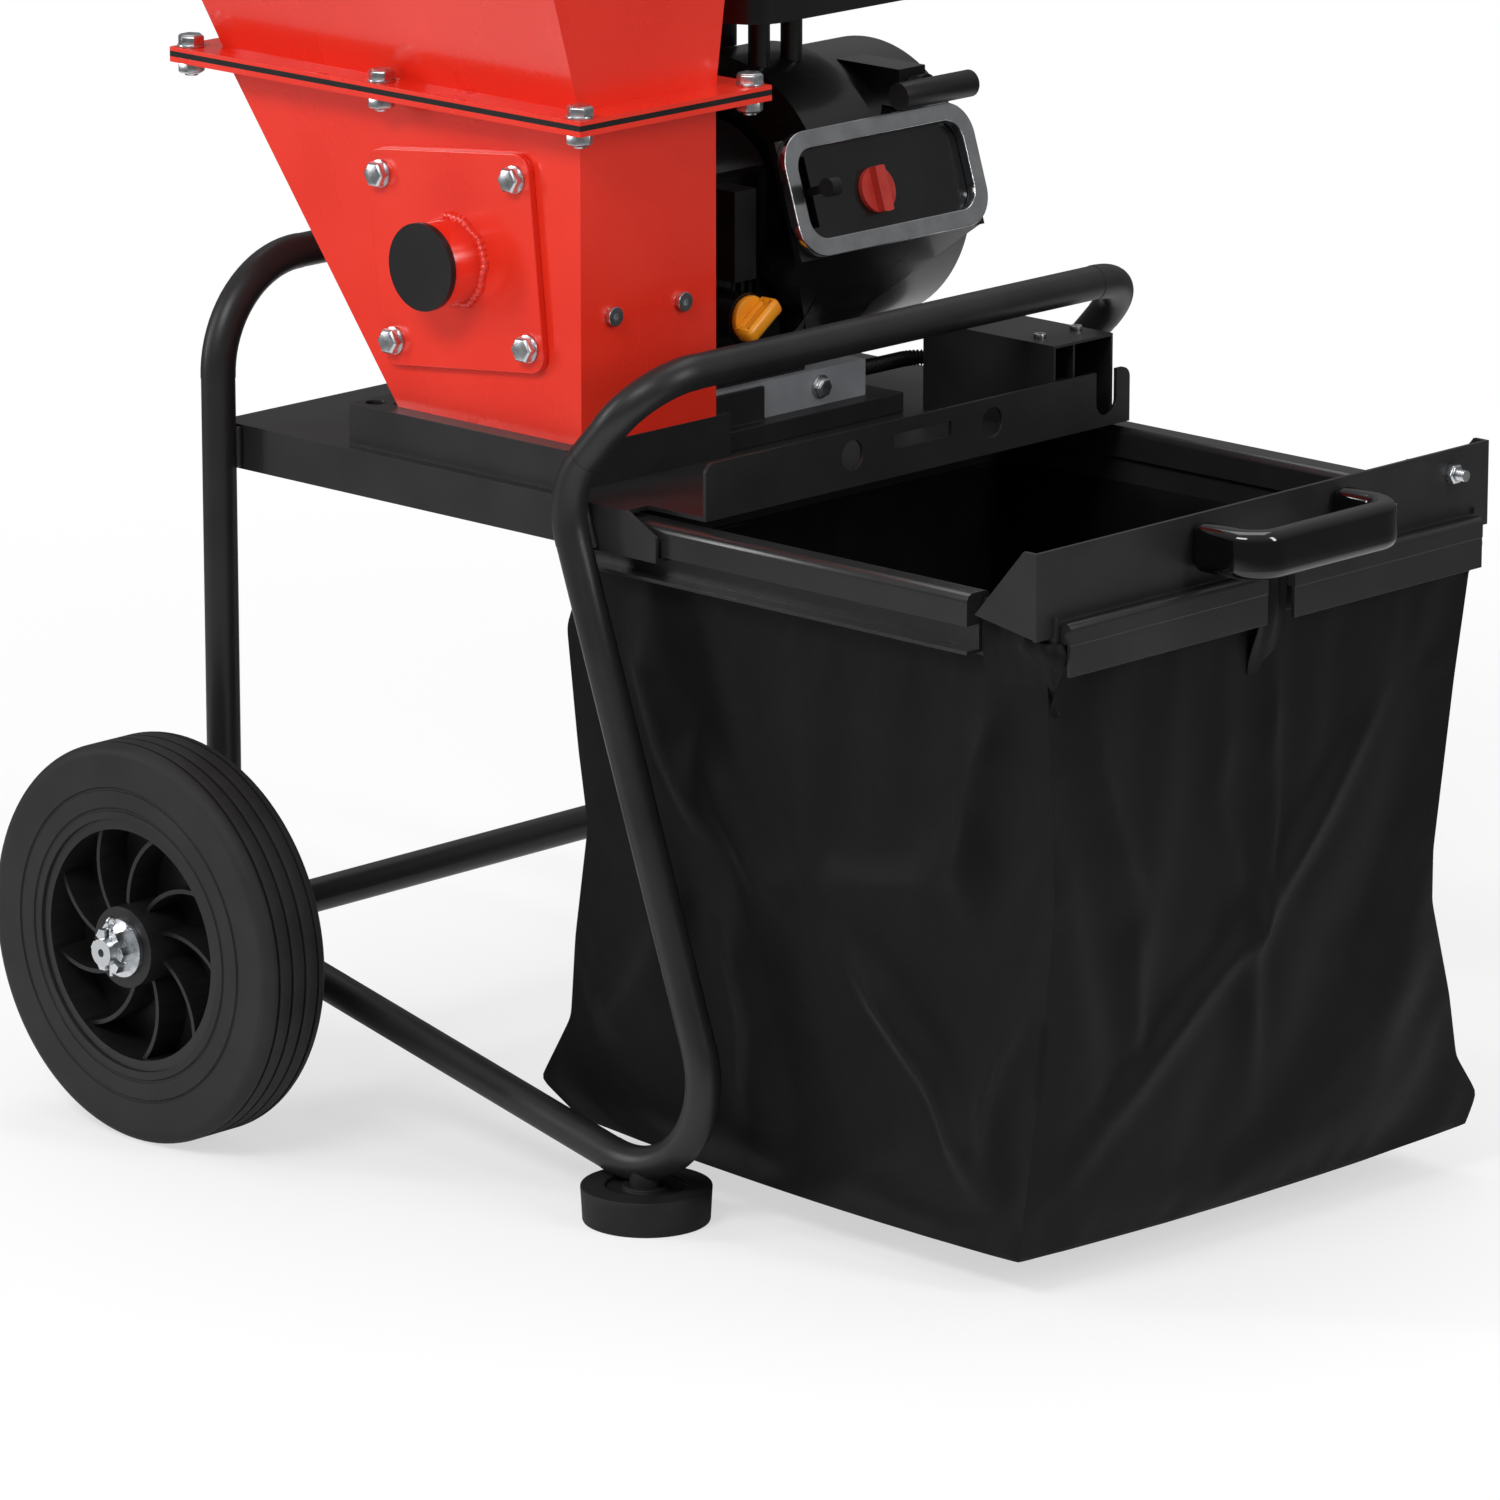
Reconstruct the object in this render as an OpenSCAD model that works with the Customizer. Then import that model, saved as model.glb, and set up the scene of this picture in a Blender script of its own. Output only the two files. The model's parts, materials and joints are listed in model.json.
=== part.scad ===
/* [Frame] */
// Diameter of the frame tube
tube_d = 25; // [22:0.5:28]
// Wall of the frame tube
tube_wall = 2; // [1.5:0.5:3]
// Frame width, between the centrelines of its two sides
frame_w = 514; // [500:1:540]
// Axle to foot centre, along the machine
wheelbase = 398; // [385:1:420]
// Distance of the uprights behind the axle
upright_back = 34; // [30:1:40]
// Corner of leg and lower run, ahead of the foot centre
foot_corner_x = 96; // [90:1:104]
// Height of the corner of leg and lower run
foot_corner_z = 11.2; // [6:0.2:14]
// Knee of the leg, behind the foot centre
knee_back = 82; // [70:1:90]
// Height of the knee
knee_z = 516; // [500:1:530]
// Front bar, ahead of the foot centre
front_bar_x = 1; // [-6:1:12]
// Height of the front bar
front_bar_z = 605; // [600:1:640]
// Height of the rear bar
rear_bar_z = 624; // [600:1:640]
// Bend radius where an upright meets the lower run
crook_r = 40; // [36:1:44]
// Bend radius at the foot
foot_bend_r = 73; // [68:1:78]
// Bend radius at the knee
knee_r = 60; // [50:1:62]
// Bend radius of the front bar
front_bar_r = 48; // [44:1:74]
// Bend radius of the rear bar
rear_bar_r = 80; // [60:1:100]

/* [Wheels] */
// Wheel diameter
wheel_d = 296; // [290:1:306]
// Tyre width
tyre_w = 60; // [56:1:70]
// Diameter of the tyre's seat on the hub
rim_d = 187; // [176:1:196]
// Axle diameter
axle_d = 20; // [18:0.5:22]
// Gap between the frame and the tyre
wheel_gap = 56; // [52:1:70]
// Diameter of the hub boss
hub_boss_d = 60; // [52:1:66]
// Ribs in a hub
hub_ribs = 9; // [7:1:11]
// Grooves round the tread
tread_grooves = 4; // [3:1:5]

/* [Feet] */
// Foot diameter
foot_d = 94; // [80:1:100]
// Foot height
foot_h = 26; // [24:0.5:28]
// Foot bolt diameter
foot_bolt_d = 8; // [6:1:10]

/* [Deck] */
// Height of the deck's top face
deck_z = 507; // [500:1:512]
// Thickness of the deck sheet
sheet_t = 3; // [2:0.5:4]
// Height of the deck's side skirts
skirt_h = 33; // [31:1:36]
// Width of the rail folded in below a skirt
rail_w = 18; // [14:0.5:18]
// How far the deck reaches behind the centre line of the uprights
deck_past = 13; // [8:1:23]
// Width of the front tongue and its flange
tongue_w = 443; // [425:1:455]
// Front face of the flange, ahead of the foot centre
flange_x = 25; // [18:1:32]
// Height of the flange above the deck
flange_h = 38; // [34:1:44]
// Distance of the latch notch in from the deck's far skirt
latch_in = 48; // [46:1:56]
// Height of the latch bolt above the deck
latch_up = 14; // [12:0.5:17]
// Width of the latch notch
notch_w = 22; // [18:1:24]
// Diameter of the round holes in the flange
flange_hole_d = 22; // [14:1:26]

/* [Housing] */
// Height of the base frame under the housing
base_h = 31; // [28:1:34]
// Length of the housing's foot, along the machine
housing_l = 185; // [180:1:190]
// Housing width across the rotor
housing_w = 136; // [132:1:142]
// Front face of the housing, behind the foot centre
housing_back = 98; // [94:1:102]
// Near face of the housing, from the middle plane
housing_side = 220; // [216:1:222]
// Lean of the housing's rear wall from upright, in degrees
housing_lean = 37.3; // [36:0.1:39]
// Height of the housing
housing_h = 232; // [226:1:240]
// Thickness of the housing sheet
housing_t = 5; // [4:0.5:6]
// Height of the rotor axis above the housing's foot
rotor_h = 117; // [115:0.5:120]
// Rotor axis, behind the front face of the housing
rotor_back = 120; // [117:1:124]
// Turn of the bearing plate about the rotor axis, in degrees
plate_turn = 6; // [0:1:10]
// Protrusion of the bearing boss
boss_l = 35; // [32:1:40]
// Diameter of the bearing boss
boss_d = 60; // [58:1:64]
// Height of the hopper above the housing
hopper_h = 290; // [240:5:320]

/* [Rotor] */
// Drum diameter
drum_d = 150; // [140:1:156]
// Diameter of the knife tip circle
knife_tip_d = 200; // [194:1:203]
// Shaft diameter in the bearing
shaft_d = 25; // [25:0.5:28]
// Diameter of the engine's drive stub
stub_d = 20; // [18:0.5:22]
// Knife thickness
knife_t = 8; // [6:0.5:10]

/* [Engine] */
// Height of the crank axis above the engine's base
crank_h = 106; // [105:0.5:107]
// Depth of the crankcase along the crank
crankcase_l = 104; // [100:1:108]
// Radius of the blower housing
blower_r = 112; // [110:1:114]
// Depth of the blower housing
blower_l = 78; // [74:1:82]
// Depth of the recoil cover
recoil_l = 104; // [96:1:108]
// Spacing of the engine's bolts along the machine
engine_bolt_x = 162; // [158:1:166]
// Spacing of the engine's bolts across the machine
engine_bolt_y = 75.5; // [70:0.5:80]
// Tilt of the cylinder above level, in degrees
cylinder_tilt = 25; // [24:1:26]

/* [Bag drawer] */
// Front face of the handle plate, ahead of the foot centre
plate_x = 348; // [340:1:356]
// How far each end of the handle plate stands past the side strips
plate_proud = 0.2; // [0:0.1:2]
// Height of the handle plate's top edge above the deck
plate_up = 31; // [25:1:38]
// Length of the drawer, from its rear web to its front web
drawer_l = 448; // [440:1:456]
// Width of the D handle
handle_l = 166; // [140:1:190]
// Reach of the D handle ahead of the plate
handle_reach = 62; // [54:1:70]
// Height of the D handle's section
handle_h = 34; // [26:1:38]
// Thickness of the D handle's section
handle_t = 19; // [16:1:22]
// Height of the bag's floor above the tops of the feet
bag_over_feet = 2; // [1:0.5:12]
// Thickness of the bag's wall
bag_t = 4; // [3:0.5:6]

/* [Switch box] */
// Length of the switch box
box_l = 128; // [124:1:132]
// Width of the switch box
box_w = 64; // [60:1:66]
// Height of the switch box
box_h = 64; // [58:1:70]
// Travel of the switch plunger
plunger_travel = 3; // [2:0.5:4]
// Outer diameter of the conduit
conduit_d = 12; // [11:0.5:13]
// Spacing of the conduit's ribs
conduit_pitch = 2.8; // [2.4:0.1:4]

/* [Hidden] */
$fn = 64;

// Clearances
sit = 0.2;
seat_gap = 0.1;
slide_gap = 0.3;
hole_gap = 0.4;
run_gap = 0.1;
// How far a bend laps its straight runs, and how much fuller it is
bend_lap = 1.5;
bend_swell = 0.6;

// M10 bolts
m10 = 10;
m10_af = 17;
m10_head = 7;
m10_washer_d = 20;
m10_washer_t = 2;
// M8 flange bolts
m8 = 8;
m8_af = 13;
m8_head = 6;
m8_flange_d = 18;

// Frame lines
half_w = frame_w / 2;
frame_out = half_w + tube_d / 2;
frame_in = half_w - tube_d / 2;
axle_x = -wheelbase;
axle_z = wheel_d / 2;
upright_x = axle_x - upright_back;
// The crook passes just under the axle, which is welded on top of it
crook_top = sqrt(pow(crook_r - tube_d / 2, 2) - pow(crook_r - upright_back, 2));
crook_z = axle_z - axle_d / 2 - sit - bend_swell - 0.8 * crook_r + crook_top;
run_slope = (foot_corner_z - crook_z) / (foot_corner_x - upright_x);
butt_x = upright_x + 92;
butt_z = crook_z + run_slope * 92;
run_z_at_foot = foot_corner_z - run_slope * foot_corner_x;

// Wheel places across the machine
tyre_in = frame_out + wheel_gap;
tyre_out = tyre_in + tyre_w;
washer_t = 3;
hub_in = tyre_in - 7;
hub_out = tyre_out + 5;
nut_af = 30;
nut_h = 12;
nut_y = hub_out + slide_gap + washer_t + seat_gap;
axle_end = nut_y + nut_h + 6;
pin_y = nut_y + nut_h - 4;

// Deck lines
skirt_y = frame_in - sit - bend_swell / 2;
latch_y = skirt_y - latch_in;
latch_z = deck_z + latch_up;
deck_back = deck_past - upright_x;
skirt_z = deck_z - skirt_h;
rail_in = skirt_y - rail_w;
skirt_front = -2;
tongue_start = -31;
flange_top = deck_z + flange_h;

// Housing lines
housing_z = deck_z + base_h;
housing_front = -housing_back;
housing_rear = housing_front - housing_l;
near_y = -housing_side;
far_y = near_y + housing_w;
housing_top = housing_z + housing_h;
lean_shift = housing_h * tan(housing_lean);
mouth_rear = housing_rear - lean_shift;
rim = 28;
rim_bolt = rim - 11;
flange_t = 4;
rotor_x = housing_front - rotor_back;
rotor_z = housing_z + rotor_h;
chute = 21;
base_side = 16;
base_rear = 34;
base_t = 4;
// Distance from the rotor axis to the inner face of the leaning wall
lean_dist = (rotor_x - housing_rear) * cos(housing_lean) + rotor_h * sin(housing_lean) - housing_t;

// Bearing plate
plate_t = 6;
plate_half_x = 82;
plate_half_z = 78;
plate_bolt_x = 68;
plate_bolt_z = 60;
bearing_d = 52;
bearing_w = 15;
boss_end = near_y - boss_l;
cap_t = 5;

// Rotor
rotor_y0 = near_y + housing_t + 3;
rotor_y1 = far_y - housing_t - m8_head - 2;
stub_l = 60;
knife_seat = 50;
knife_reach = sqrt(pow(knife_tip_d / 2, 2) - pow(knife_seat + knife_t, 2));
blade_t = 15;

// Engine frame: crank axis, from the housing's far face
cover_t = 14;
case_y0 = cover_t;
case_y1 = case_y0 + crankcase_l;
blower_y1 = case_y1 + blower_l;
recoil_y1 = blower_y1 + recoil_l;
case_x0 = -70;
case_x1 = 70;
case_z1 = 40;
case_wall = 8;
foot_x = engine_bolt_x / 2 + 14;
cylinder_y = (case_y0 + case_y1) / 2;
cylinder_start = 74;
head_end = 150;
fin_size = 96;
engine_z = rotor_z - crank_h;
mount_y = cylinder_y;

// Mount channels and rails
channel_w = 40;
channel_t = 3;
rail_h = 15;
channel_y0 = far_y + cover_t + 2;
channel_y1 = far_y + 176;
rail_y1 = far_y + 202;
front_channel_x = rotor_x + engine_bolt_x / 2;
rear_channel_x = rotor_x - engine_bolt_x / 2;

// Trim panel
panel_y0 = 79;
panel_y1 = 279;
panel_z0 = -17;
panel_h = 92;
panel_lean = 18;
panel_x = 126;
panel_t = 8;
panel_rim = 13;
lever_y = 104;
lever_z = 48;
lever_pivot = -14;
knob_y = 172;
knob_z = 40;

// Tank
tank_x0 = -108;
tank_x1 = 98;
tank_y0 = 62;
tank_y1 = 250;
tank_z0 = 152;
tank_z1 = 226;
tank_cap_x = 10;
tank_cap_y = 170;
tank_cap_d = 58;
neck_d = 44;

// Starter rope
rope_y = blower_y1 + 38;
rope_z = 86;
rope_d = 5;
rope_boss_x = 92;

// Dipstick
dip_y = 54;
dip_z = -57;
dip_boss_x = 98;
dip_boss_d = 36;
dip_hole_d = 22;

// Governor unit
gov_x1 = 98;
gov_y0 = 42;
gov_y1 = 64;
gov_z0 = -30;
gov_z1 = 36;

// Carburettor
carb_x0 = -96;
carb_x1 = -40;
carb_y0 = 44;
carb_y1 = 106;
carb_z0 = 98;
carb_z1 = 146;
intake_l = 34;

// Drawer lines
plate_t2 = 3;
web_t = 3;
drawer_front = plate_x + web_t;
drawer_rear = drawer_front - drawer_l;
strip_out = rail_in + rail_w - 6.5;
plate_l = 2 * (strip_out + plate_proud);
plate_top = deck_z + plate_up;
web_out = rail_in - 4;
web_in = web_out - web_t;
strip_wall = 3;
bar_z = skirt_z + sheet_t + slide_gap;
bar_h = 22.5;
lip_z = skirt_z - 16.5;
lip_t = 2.5;
frame_low = skirt_z - 19;
frame_top = bar_z + 15;
strip_front = 285;
front_strip_w = 2 * (web_in - 2);
front_break = 28;
gusset_l = 53;
gusset_flat = 9;
gusset_z = deck_z - 20;
plate_low = bar_z;
drawer_travel = plate_x - plate_t2 - flange_x - slide_gap;
stud_tip = plate_x - 40;
stud_front = plate_x + 14;
bag_top = frame_low;
bag_low = foot_h + bag_over_feet;

// Switch box
box_t = 2;
box_front = flange_x - sheet_t - sit;
box_rear = box_front - box_l;
box_y0 = latch_y + 10 - box_w;
box_y1 = box_y0 + box_w;
box_top = deck_z + box_h;
plunger_d = 5;
plunger_tip = stud_tip - drawer_travel - slide_gap;
switch_front = plunger_tip - plunger_travel - 3;
switch_l = 38;
switch_h = 24;

// Conduit route: inside the mount channel, along it, and round into the box
conduit_x = -140;
conduit_z = deck_z + 28;
conduit_y0 = 58;
conduit_turn_r = 24;
conduit_in_y = 178;

// Whole object's middle along the machine
x_back = axle_x - wheel_d / 2;
x_front = plate_x + handle_reach;
origin_x = (x_back + x_front) / 2;

// Placing helpers
module place() {
  translate([-origin_x, 0, 0])
    children();
}

module both_sides() {
  children();
  mirror([0, 1, 0])
    children();
}

module at_rotor() {
  translate([rotor_x, 0, rotor_z])
    children();
}

module at_engine() {
  translate([rotor_x, far_y, rotor_z])
    children();
}

module at_plate() {
  at_rotor()
    translate([0, near_y, 0])
      rotate([0, -plate_turn, 0])
        children();
}

// Rear wall of the housing: x inward, z up the slope, from the foot of the rotor axis
module at_lean() {
  at_rotor()
    rotate([0, -housing_lean, 0])
      translate([-lean_dist, 0, 0])
        children();
}

module at_panel() {
  at_engine()
    translate([panel_x, 0, panel_z0])
      rotate([0, -panel_lean, 0])
        children();
}

module at_cylinder() {
  at_engine()
    translate([0, cylinder_y, 0])
      rotate([0, cylinder_tilt - 90, 0])
        children();
}

// Basic shapes
module block(x0, x1, y0, y1, z0, z1) {
  translate([x0, y0, z0])
    cube([x1 - x0, y1 - y0, z1 - z0]);
}

module rod_x(y, z, d, x0, x1) {
  translate([x0, y, z])
    rotate([0, 90, 0])
      cylinder(d = d, h = x1 - x0);
}

module rod_y(x, z, d, y0, y1) {
  translate([x, y0, z])
    rotate([-90, 0, 0])
      cylinder(d = d, h = y1 - y0);
}

module rod_z(x, y, d, z0, z1) {
  translate([x, y, z0])
    cylinder(d = d, h = z1 - z0);
}

// Outline in x and z, drawn through a depth in y
module slab_xz(points, y0, y1) {
  translate([0, y1, 0])
    rotate([90, 0, 0])
      linear_extrude(y1 - y0)
        polygon(points);
}

// Outline in y and z, drawn through a depth in x
module slab_yz(points, x0, x1) {
  translate([x0, 0, 0])
    rotate([90, 0, 90])
      linear_extrude(x1 - x0)
        polygon(points);
}

module round_rect(w, h, r) {
  square([w - 2 * r, h], center = true);
  square([w, h - 2 * r], center = true);
  for (x = [-1, 1], y = [-1, 1])
    translate([x * (w / 2 - r), y * (h / 2 - r)])
      circle(r = r);
}

module hexagon(af) {
  circle(d = af / cos(30), $fn = 6);
}

// Bolt along +z: head below z = 0, shank above
module m10_bolt(length) {
  translate([0, 0, -m10_washer_t - m10_head])
    linear_extrude(m10_head)
      hexagon(m10_af);
  translate([0, 0, -m10_washer_t])
    cylinder(d = m10_washer_d, h = m10_washer_t);
  cylinder(d = m10, h = length);
}

module m8_flange_bolt(length) {
  translate([0, 0, -m8_head])
    linear_extrude(m8_head - 1.5)
      hexagon(m8_af);
  translate([0, 0, -1.5])
    cylinder(d = m8_flange_d, h = 1.5);
  cylinder(d = m8, h = length);
}

module button_screw(d, head_d, head_h, socket, length) {
  difference() {
    translate([0, 0, -head_h])
      cylinder(d1 = head_d * 0.6, d2 = head_d, h = head_h);
    translate([0, 0, -head_h - 1])
      linear_extrude(1 + head_h * 0.6)
        hexagon(socket);
  }
  cylinder(d = d, h = length);
}

// Bent pipes
function unit(v) = v / norm(v);
function turn(a, b, c) = acos(unit(b - a) * unit(c - b));
function lead(pts, radii, i) = radii[i] == 0 ? 0 : radii[i] * tan(turn(pts[i - 1], pts[i], pts[i + 1]) / 2);
function inward(u, v) = unit(v - (v * u) * u);
function any_side(u) = abs(u[2]) < 0.9 ? unit(cross(u, [0, 0, 1])) : unit(cross(u, [0, 1, 0]));
function axes(o, x, y, z) = [
  [x[0], y[0], z[0], o[0]],
  [x[1], y[1], z[1], o[1]],
  [x[2], y[2], z[2], o[2]],
  [0, 0, 0, 1]
];

module pipe_section(d, bore) {
  difference() {
    circle(d = d);
    circle(d = bore);
  }
}

module bent_pipe(pts, radii, d, bore) {
  last = len(pts) - 1;
  for (i = [0 : last - 1]) {
    u = unit(pts[i + 1] - pts[i]);
    a = pts[i] + u * lead(pts, radii, i);
    b = pts[i + 1] - u * lead(pts, radii, i + 1);
    s = any_side(u);
    multmatrix(axes(a, s, cross(u, s), u))
      linear_extrude(norm(b - a))
        pipe_section(d, bore);
  }
  for (i = [1 : last - 1]) {
    u = unit(pts[i] - pts[i - 1]);
    v = unit(pts[i + 1] - pts[i]);
    n = inward(u, v);
    start = pts[i] - u * lead(pts, radii, i);
    lap = bend_lap / radii[i] * 180 / PI;
    multmatrix(axes(start + n * radii[i], -n, u, cross(-n, u)))
      rotate([0, 0, -lap])
        rotate_extrude(angle = turn(pts[i - 1], pts[i], pts[i + 1]) + 2 * lap)
          translate([radii[i], 0])
            pipe_section(d + bend_swell, bore - bend_swell);
  }
}

// Frame
module rear_frame_tube() {
  near = [[butt_x, -half_w, butt_z], [upright_x, -half_w, crook_z], [upright_x, -half_w, rear_bar_z]];
  far = [[upright_x, half_w, rear_bar_z], [upright_x, half_w, crook_z], [butt_x, half_w, butt_z]];
  radii = [0, crook_r, rear_bar_r, rear_bar_r, crook_r, 0];
  color("#2e2e2f")
    bent_pipe(concat(near, far), radii, tube_d, tube_d - 2 * tube_wall);
}

module front_frame_tube() {
  near = [[butt_x, -half_w, butt_z], [foot_corner_x, -half_w, foot_corner_z], [-knee_back, -half_w, knee_z],
    [front_bar_x, -half_w, front_bar_z]];
  far = [for (i = [3 : -1 : 0]) [near[i][0], half_w, near[i][2]]];
  radii = [0, foot_bend_r, knee_r, front_bar_r, front_bar_r, knee_r, foot_bend_r, 0];
  color("#2e2e2f")
    difference() {
      union() {
        bent_pipe(concat(near, far), radii, tube_d, tube_d - 2 * tube_wall);
        for (y = [-half_w, half_w])
          rod_z(0, y, foot_bolt_d + 16, foot_h, run_z_at_foot + 3);
      }
      for (y = [-half_w, half_w])
        rod_z(0, y, foot_bolt_d + hole_gap, 0, run_z_at_foot + 8);
    }
}

module axle() {
  color("#3a3a3b")
    difference() {
      union() {
        rod_y(axle_x, axle_z, axle_d, -axle_end, axle_end);
        rod_y(axle_x, axle_z, tube_d, 2 - frame_in, frame_in - 2);
      }
      for (y = [-1, 1]) {
        rod_z(axle_x, y * pin_y, 3.6, axle_z - axle_d, axle_z + axle_d);
        translate([axle_x, y * axle_end, axle_z])
          rotate([y * 90, 0, 0])
            cylinder(d = 6, h = 8);
      }
    }
}

module axle_spacers() {
  color("#2e2e2f")
    both_sides()
      difference() {
        rod_y(axle_x, axle_z, axle_d + 8, frame_out + sit, hub_in - slide_gap);
        rod_y(axle_x, axle_z, axle_d + hole_gap, frame_out, hub_in);
      }
}

module castle_nut() {
  difference() {
    linear_extrude(nut_h)
      difference() {
        hexagon(nut_af);
        circle(d = axle_d + hole_gap);
      }
    for (a = [30 : 60 : 150])
      rotate(a)
        translate([-nut_af, -2.5, nut_h - 6])
          cube([2 * nut_af, 5, 7]);
  }
}

module split_pin() {
  cylinder(d = 3, h = nut_af + 8, center = true);
  translate([0, 0, nut_af / 2 + 6])
    rotate([0, 90, 0])
      rotate_extrude()
        translate([3.4, 0])
          circle(d = 2.4);
}

module axle_fasteners() {
  color("#c9ccd0")
    both_sides() {
      difference() {
        rod_y(axle_x, axle_z, 43, hub_out + slide_gap, hub_out + slide_gap + washer_t);
        rod_y(axle_x, axle_z, axle_d + hole_gap, hub_out, nut_y);
      }
      translate([axle_x, nut_y, axle_z])
        rotate([-90, 0, 0])
          castle_nut();
      translate([axle_x, pin_y, axle_z])
        split_pin();
    }
}

module tyre_section() {
  inner = rim_d / 2;
  outer = wheel_d / 2;
  shoulder = 9;
  difference() {
    union() {
      translate([inner, -tyre_w / 2])
        square([outer - inner - shoulder, tyre_w]);
      translate([inner, -tyre_w / 2 + shoulder])
        square([outer - inner, tyre_w - 2 * shoulder]);
      for (y = [-1, 1])
        translate([outer - shoulder, y * (tyre_w / 2 - shoulder)])
          circle(r = shoulder);
    }
    for (i = [0 : tread_grooves - 1])
      translate([outer - 2.2, (i - (tread_grooves - 1) / 2) * (tyre_w - 22) / (tread_grooves - 1) - 1.2])
        square([4, 2.4]);
    for (y = [-1, 1], r = [inner + 7, inner + 22])
      translate([r, y * tyre_w / 2])
        circle(r = 1.4);
  }
}

module tyre() {
  color("#303031")
    translate([axle_x, (tyre_in + tyre_out) / 2, axle_z])
      rotate([90, 0, 0])
        rotate_extrude($fn = 96)
          tyre_section();
}

module left_tyre() {
  mirror([0, 1, 0])
    tyre();
}

module right_tyre() {
  tyre();
}

module hub_rib() {
  bow = rim_d * 0.32;
  intersection() {
    difference() {
      circle(d = rim_d - 12);
      circle(d = hub_boss_d - 2);
    }
    translate([0, bow])
      difference() {
        circle(r = bow + 1.6);
        circle(r = bow - 1.6);
      }
    translate([0, -rim_d])
      square(2 * rim_d);
  }
}

// Hub with its face at z = 0 and its depth along -z
module hub() {
  rim_w = tyre_w - 4;
  face = (hub_out - tyre_out) + 2;
  color("#242425")
    translate([axle_x, hub_out, axle_z])
      rotate([-90, 0, 0])
        difference() {
          union() {
            translate([0, 0, -face - rim_w])
              linear_extrude(rim_w)
                difference() {
                  circle(d = rim_d - 2 * sit);
                  circle(d = rim_d - 16);
                }
            translate([0, 0, -face - rim_w / 2 - 10])
              cylinder(d = rim_d - 12, h = 5);
            translate([0, 0, hub_in - hub_out])
              cylinder(d = hub_boss_d - 14, h = rim_w / 2);
            translate([0, 0, -face - rim_w / 2 - 8])
              cylinder(d = hub_boss_d, h = face + rim_w / 2 + 8);
            translate([0, 0, -face - rim_w / 2 - 6])
              linear_extrude(rim_w / 2)
                for (i = [0 : hub_ribs - 1])
                  rotate(i * 360 / hub_ribs)
                    hub_rib();
          }
          translate([0, 0, hub_in - hub_out - 1])
            cylinder(d = axle_d + run_gap, h = hub_out - hub_in + 2);
        }
}

module left_hub() {
  mirror([0, 1, 0])
    hub();
}

module right_hub() {
  hub();
}

foot_recess = 12;

module feet() {
  color("#2a2a2a")
    both_sides()
      translate([0, half_w, 0])
        difference() {
          cylinder(d1 = foot_d - 3, d2 = foot_d, h = foot_h);
          translate([0, 0, -1])
            cylinder(d = foot_bolt_d * 3, h = foot_recess + 1);
          cylinder(d = foot_bolt_d + hole_gap, h = foot_h + 1);
          translate([0, 0, foot_h - 3])
            difference() {
              cylinder(d = foot_d * 0.62, h = 4);
              translate([0, 0, -1])
                cylinder(d = foot_d * 0.36, h = 6);
            }
        }
}

module foot_bolts() {
  color("#c9ccd0")
    both_sides()
      translate([0, half_w, 0]) {
        translate([0, 0, foot_recess - foot_bolt_d * 0.65])
          linear_extrude(foot_bolt_d * 0.65)
            hexagon(foot_bolt_d * 1.6);
        translate([0, 0, foot_recess])
          cylinder(d = foot_bolt_d, h = run_z_at_foot - foot_recess);
      }
}

// Deck
module deck_holes() {
  chute_hole(deck_z - sheet_t - 1, deck_z + 1);
  for (x = [front_channel_x, rear_channel_x], y = [channel_y0 + 12, channel_y1 - 12])
    rod_z(x, y, m8 + hole_gap, deck_z - sheet_t - 1, deck_z + 1);
}

module chute_hole(z0, z1) {
  block(housing_rear + chute, housing_front - chute, near_y + chute, far_y - chute, z0, z1);
}

module flange_plate() {
  corner = 8;
  difference() {
    translate([flange_x, 0, 0])
      rotate([90, 0, -90])
        linear_extrude(sheet_t)
          translate([0, (flange_top + deck_z - sheet_t) / 2])
            difference() {
              square([tongue_w, flange_h + sheet_t], center = true);
              for (y = [-1, 1])
                translate([y * tongue_w / 2, (flange_h + sheet_t) / 2])
                  difference() {
                    square(2 * corner, center = true);
                    translate([-y * corner, -corner])
                      circle(r = corner);
                  }
            }
    for (y = [-73, 73])
      rod_x(y, deck_z + 20, flange_hole_d, flange_x - 2 * sheet_t, flange_x + 1);
    block(flange_x - 2 * sheet_t, flange_x + 1, -30, 30, deck_z + 17, deck_z + 28);
    rod_x(latch_y, latch_z + 2, notch_w, flange_x - 2 * sheet_t, flange_x + 1);
    block(flange_x - 2 * sheet_t, flange_x + 1, latch_y - notch_w / 2, latch_y + notch_w / 2, latch_z + 2,
      flange_top + 1);
  }
}

module deck() {
  skirt = [[-deck_back, skirt_z], [skirt_front, skirt_z], [skirt_front, deck_z - 15],
    [tongue_start, deck_z], [-deck_back, deck_z]];
  color("#2e2e2f")
    difference() {
      union() {
        block(-deck_back, tongue_start, -skirt_y, skirt_y, deck_z - sheet_t, deck_z);
        block(tongue_start - 1, flange_x, -tongue_w / 2, tongue_w / 2, deck_z - sheet_t, deck_z);
        both_sides() {
          slab_xz(skirt, skirt_y - sheet_t, skirt_y);
          block(-deck_back, skirt_front, rail_in, skirt_y, skirt_z, skirt_z + sheet_t);
        }
        block(-deck_back, -deck_back + sheet_t, -skirt_y, skirt_y, skirt_z, deck_z);
        flange_plate();
      }
      deck_holes();
    }
}

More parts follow.
